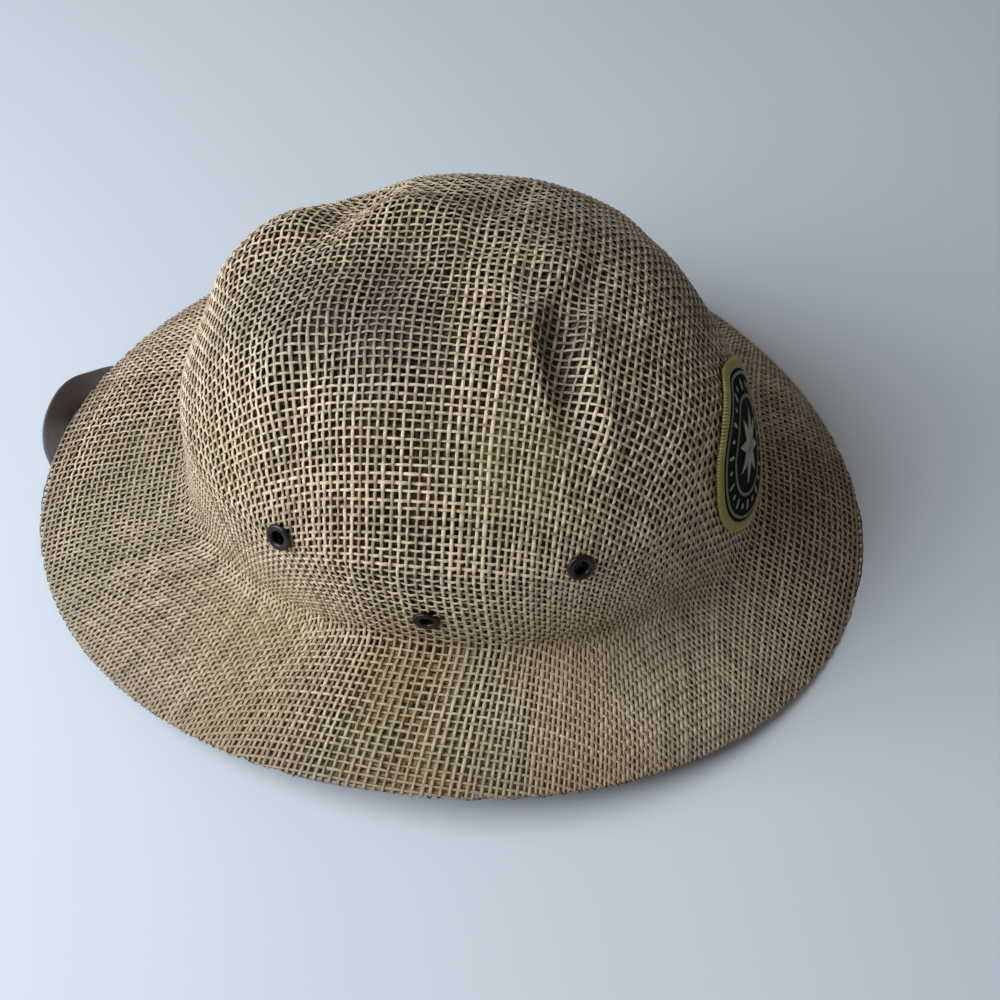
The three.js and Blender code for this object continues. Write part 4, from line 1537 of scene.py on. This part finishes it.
class Studio:
    """Camera, floor and lights."""

    AIM = Vector((0, 0, 0.05))

    def __init__(self, shift: float) -> None:
        """Keeps how far the hat stands ahead of the frame's centre."""
        self.shift = shift

    @staticmethod
    def _aim(obj: bpy.types.Object, at: Vector, direction: Vector) -> None:
        """Puts an object in the scene.

        Args:
            obj: a camera or lamp.
            at: its place.
            direction: where it looks.
        """
        obj.location = at
        obj.rotation_mode = "QUATERNION"
        obj.rotation_quaternion = direction.to_track_quat("-Z", "Y")
        bpy.context.collection.objects.link(obj)

    def camera(self, z: CameraSizes) -> None:
        """Puts the camera where the photograph was taken from.

        Args:
            z: its place and focal length.
        """
        e, a = np.radians(z.elevation), np.radians(z.azimuth)
        back = Vector((np.sin(a) * np.cos(e), -np.cos(a) * np.cos(e), np.sin(e)))
        target = Vector((z.target[0] + self.shift, z.target[1], z.target[2])) * MM
        data = bpy.data.cameras.new("camera")
        data.sensor_width = z.sensor
        data.lens = z.sensor * z.focal_px / z.picture_px
        data.clip_start, data.clip_end = 0.01, 20.0
        cam = bpy.data.objects.new("camera", data)
        self._aim(cam, target + back * z.distance * MM, -back)
        bpy.context.scene.camera = cam

    def floor(self) -> None:
        """A plain pale floor."""
        mesh = bpy.data.meshes.new("floor")
        r = FLOOR_HALF
        mesh.from_pydata([(-r, -r, 0), (r, -r, 0), (r, r, 0), (-r, r, 0)], [], [(0, 1, 2, 3)])
        mat = bpy.data.materials.new("pale_floor")
        mat.use_nodes = True
        bsdf = mat.node_tree.nodes["Principled BSDF"]
        colour, roughness, shine = FLOOR_FINISH
        bsdf.inputs["Base Color"].default_value = (*colour, 1)
        bsdf.inputs["Roughness"].default_value = roughness
        bsdf.inputs["Specular IOR Level"].default_value = shine
        mesh.materials.append(mat)
        obj = bpy.data.objects.new("floor", mesh)
        bpy.context.collection.objects.link(obj)

    def light(self, lamp: Lamp) -> None:
        """Sets up one lamp.

        Args:
            lamp: its place, size, power and colour.
        """
        data = bpy.data.lights.new(lamp.name, "AREA")
        data.shape = "SQUARE"
        data.size, data.energy, data.color = lamp.size, lamp.power, lamp.colour
        at = Vector(lamp.at)
        self._aim(bpy.data.objects.new(lamp.name, data), at, self.AIM - at)

    def lights(self) -> None:
        """A window at the upper left, a weak fill and a pale sky."""
        self.light(WINDOW)
        self.light(FILL)
        world = bpy.data.worlds.new("sky")
        world.use_nodes = True
        back = world.node_tree.nodes["Background"]
        colour, strength = SKY
        back.inputs["Color"].default_value = (*colour, 1)
        back.inputs["Strength"].default_value = strength
        bpy.context.scene.world = world
        bpy.context.scene.view_settings.view_transform = "Standard"


HOLE_RADIUS = 2.75      # of the gap that the weave leaves round an eyelet's tube


def main() -> None:
    """Builds the whole scene."""
    low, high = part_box("woven_shell")
    shift = (low[0] + high[0]) / 2 / MM
    LOG.info("hat shifted by %.2f mm", shift)
    surface = HatSurface(HatSizes(), shift)
    studio = Studio(shift)
    studio.camera(CameraSizes())
    eyelets = Eyelets(surface, EyeletSizes())
    strap = Strap(surface, eyelets, StrapSizes())
    LOG.info("strap length %.0f mm", strap.make(Shader(LEATHER).build()))
    weave = Weave(surface, list(eyelets.places.values()), HOLE_RADIUS)
    outer, inner = Shader(STRAW, shift).build(), Shader(STRAW_INNER_SHADE, shift).build()
    for family in Family:
        weave.lay(OUTER_PLY, family, outer)
        weave.lay(INNER_PLY, family, inner)
    eyelets.make(Shader(BRONZE).build())
    finishes = [Shader(finish).build() for finish in (FIELD, BORDER, PALE, GREEN)]
    Patch(surface, PatchSizes()).make(*finishes)
    studio.floor()
    studio.lights()


if __name__ == "__main__":
    main()
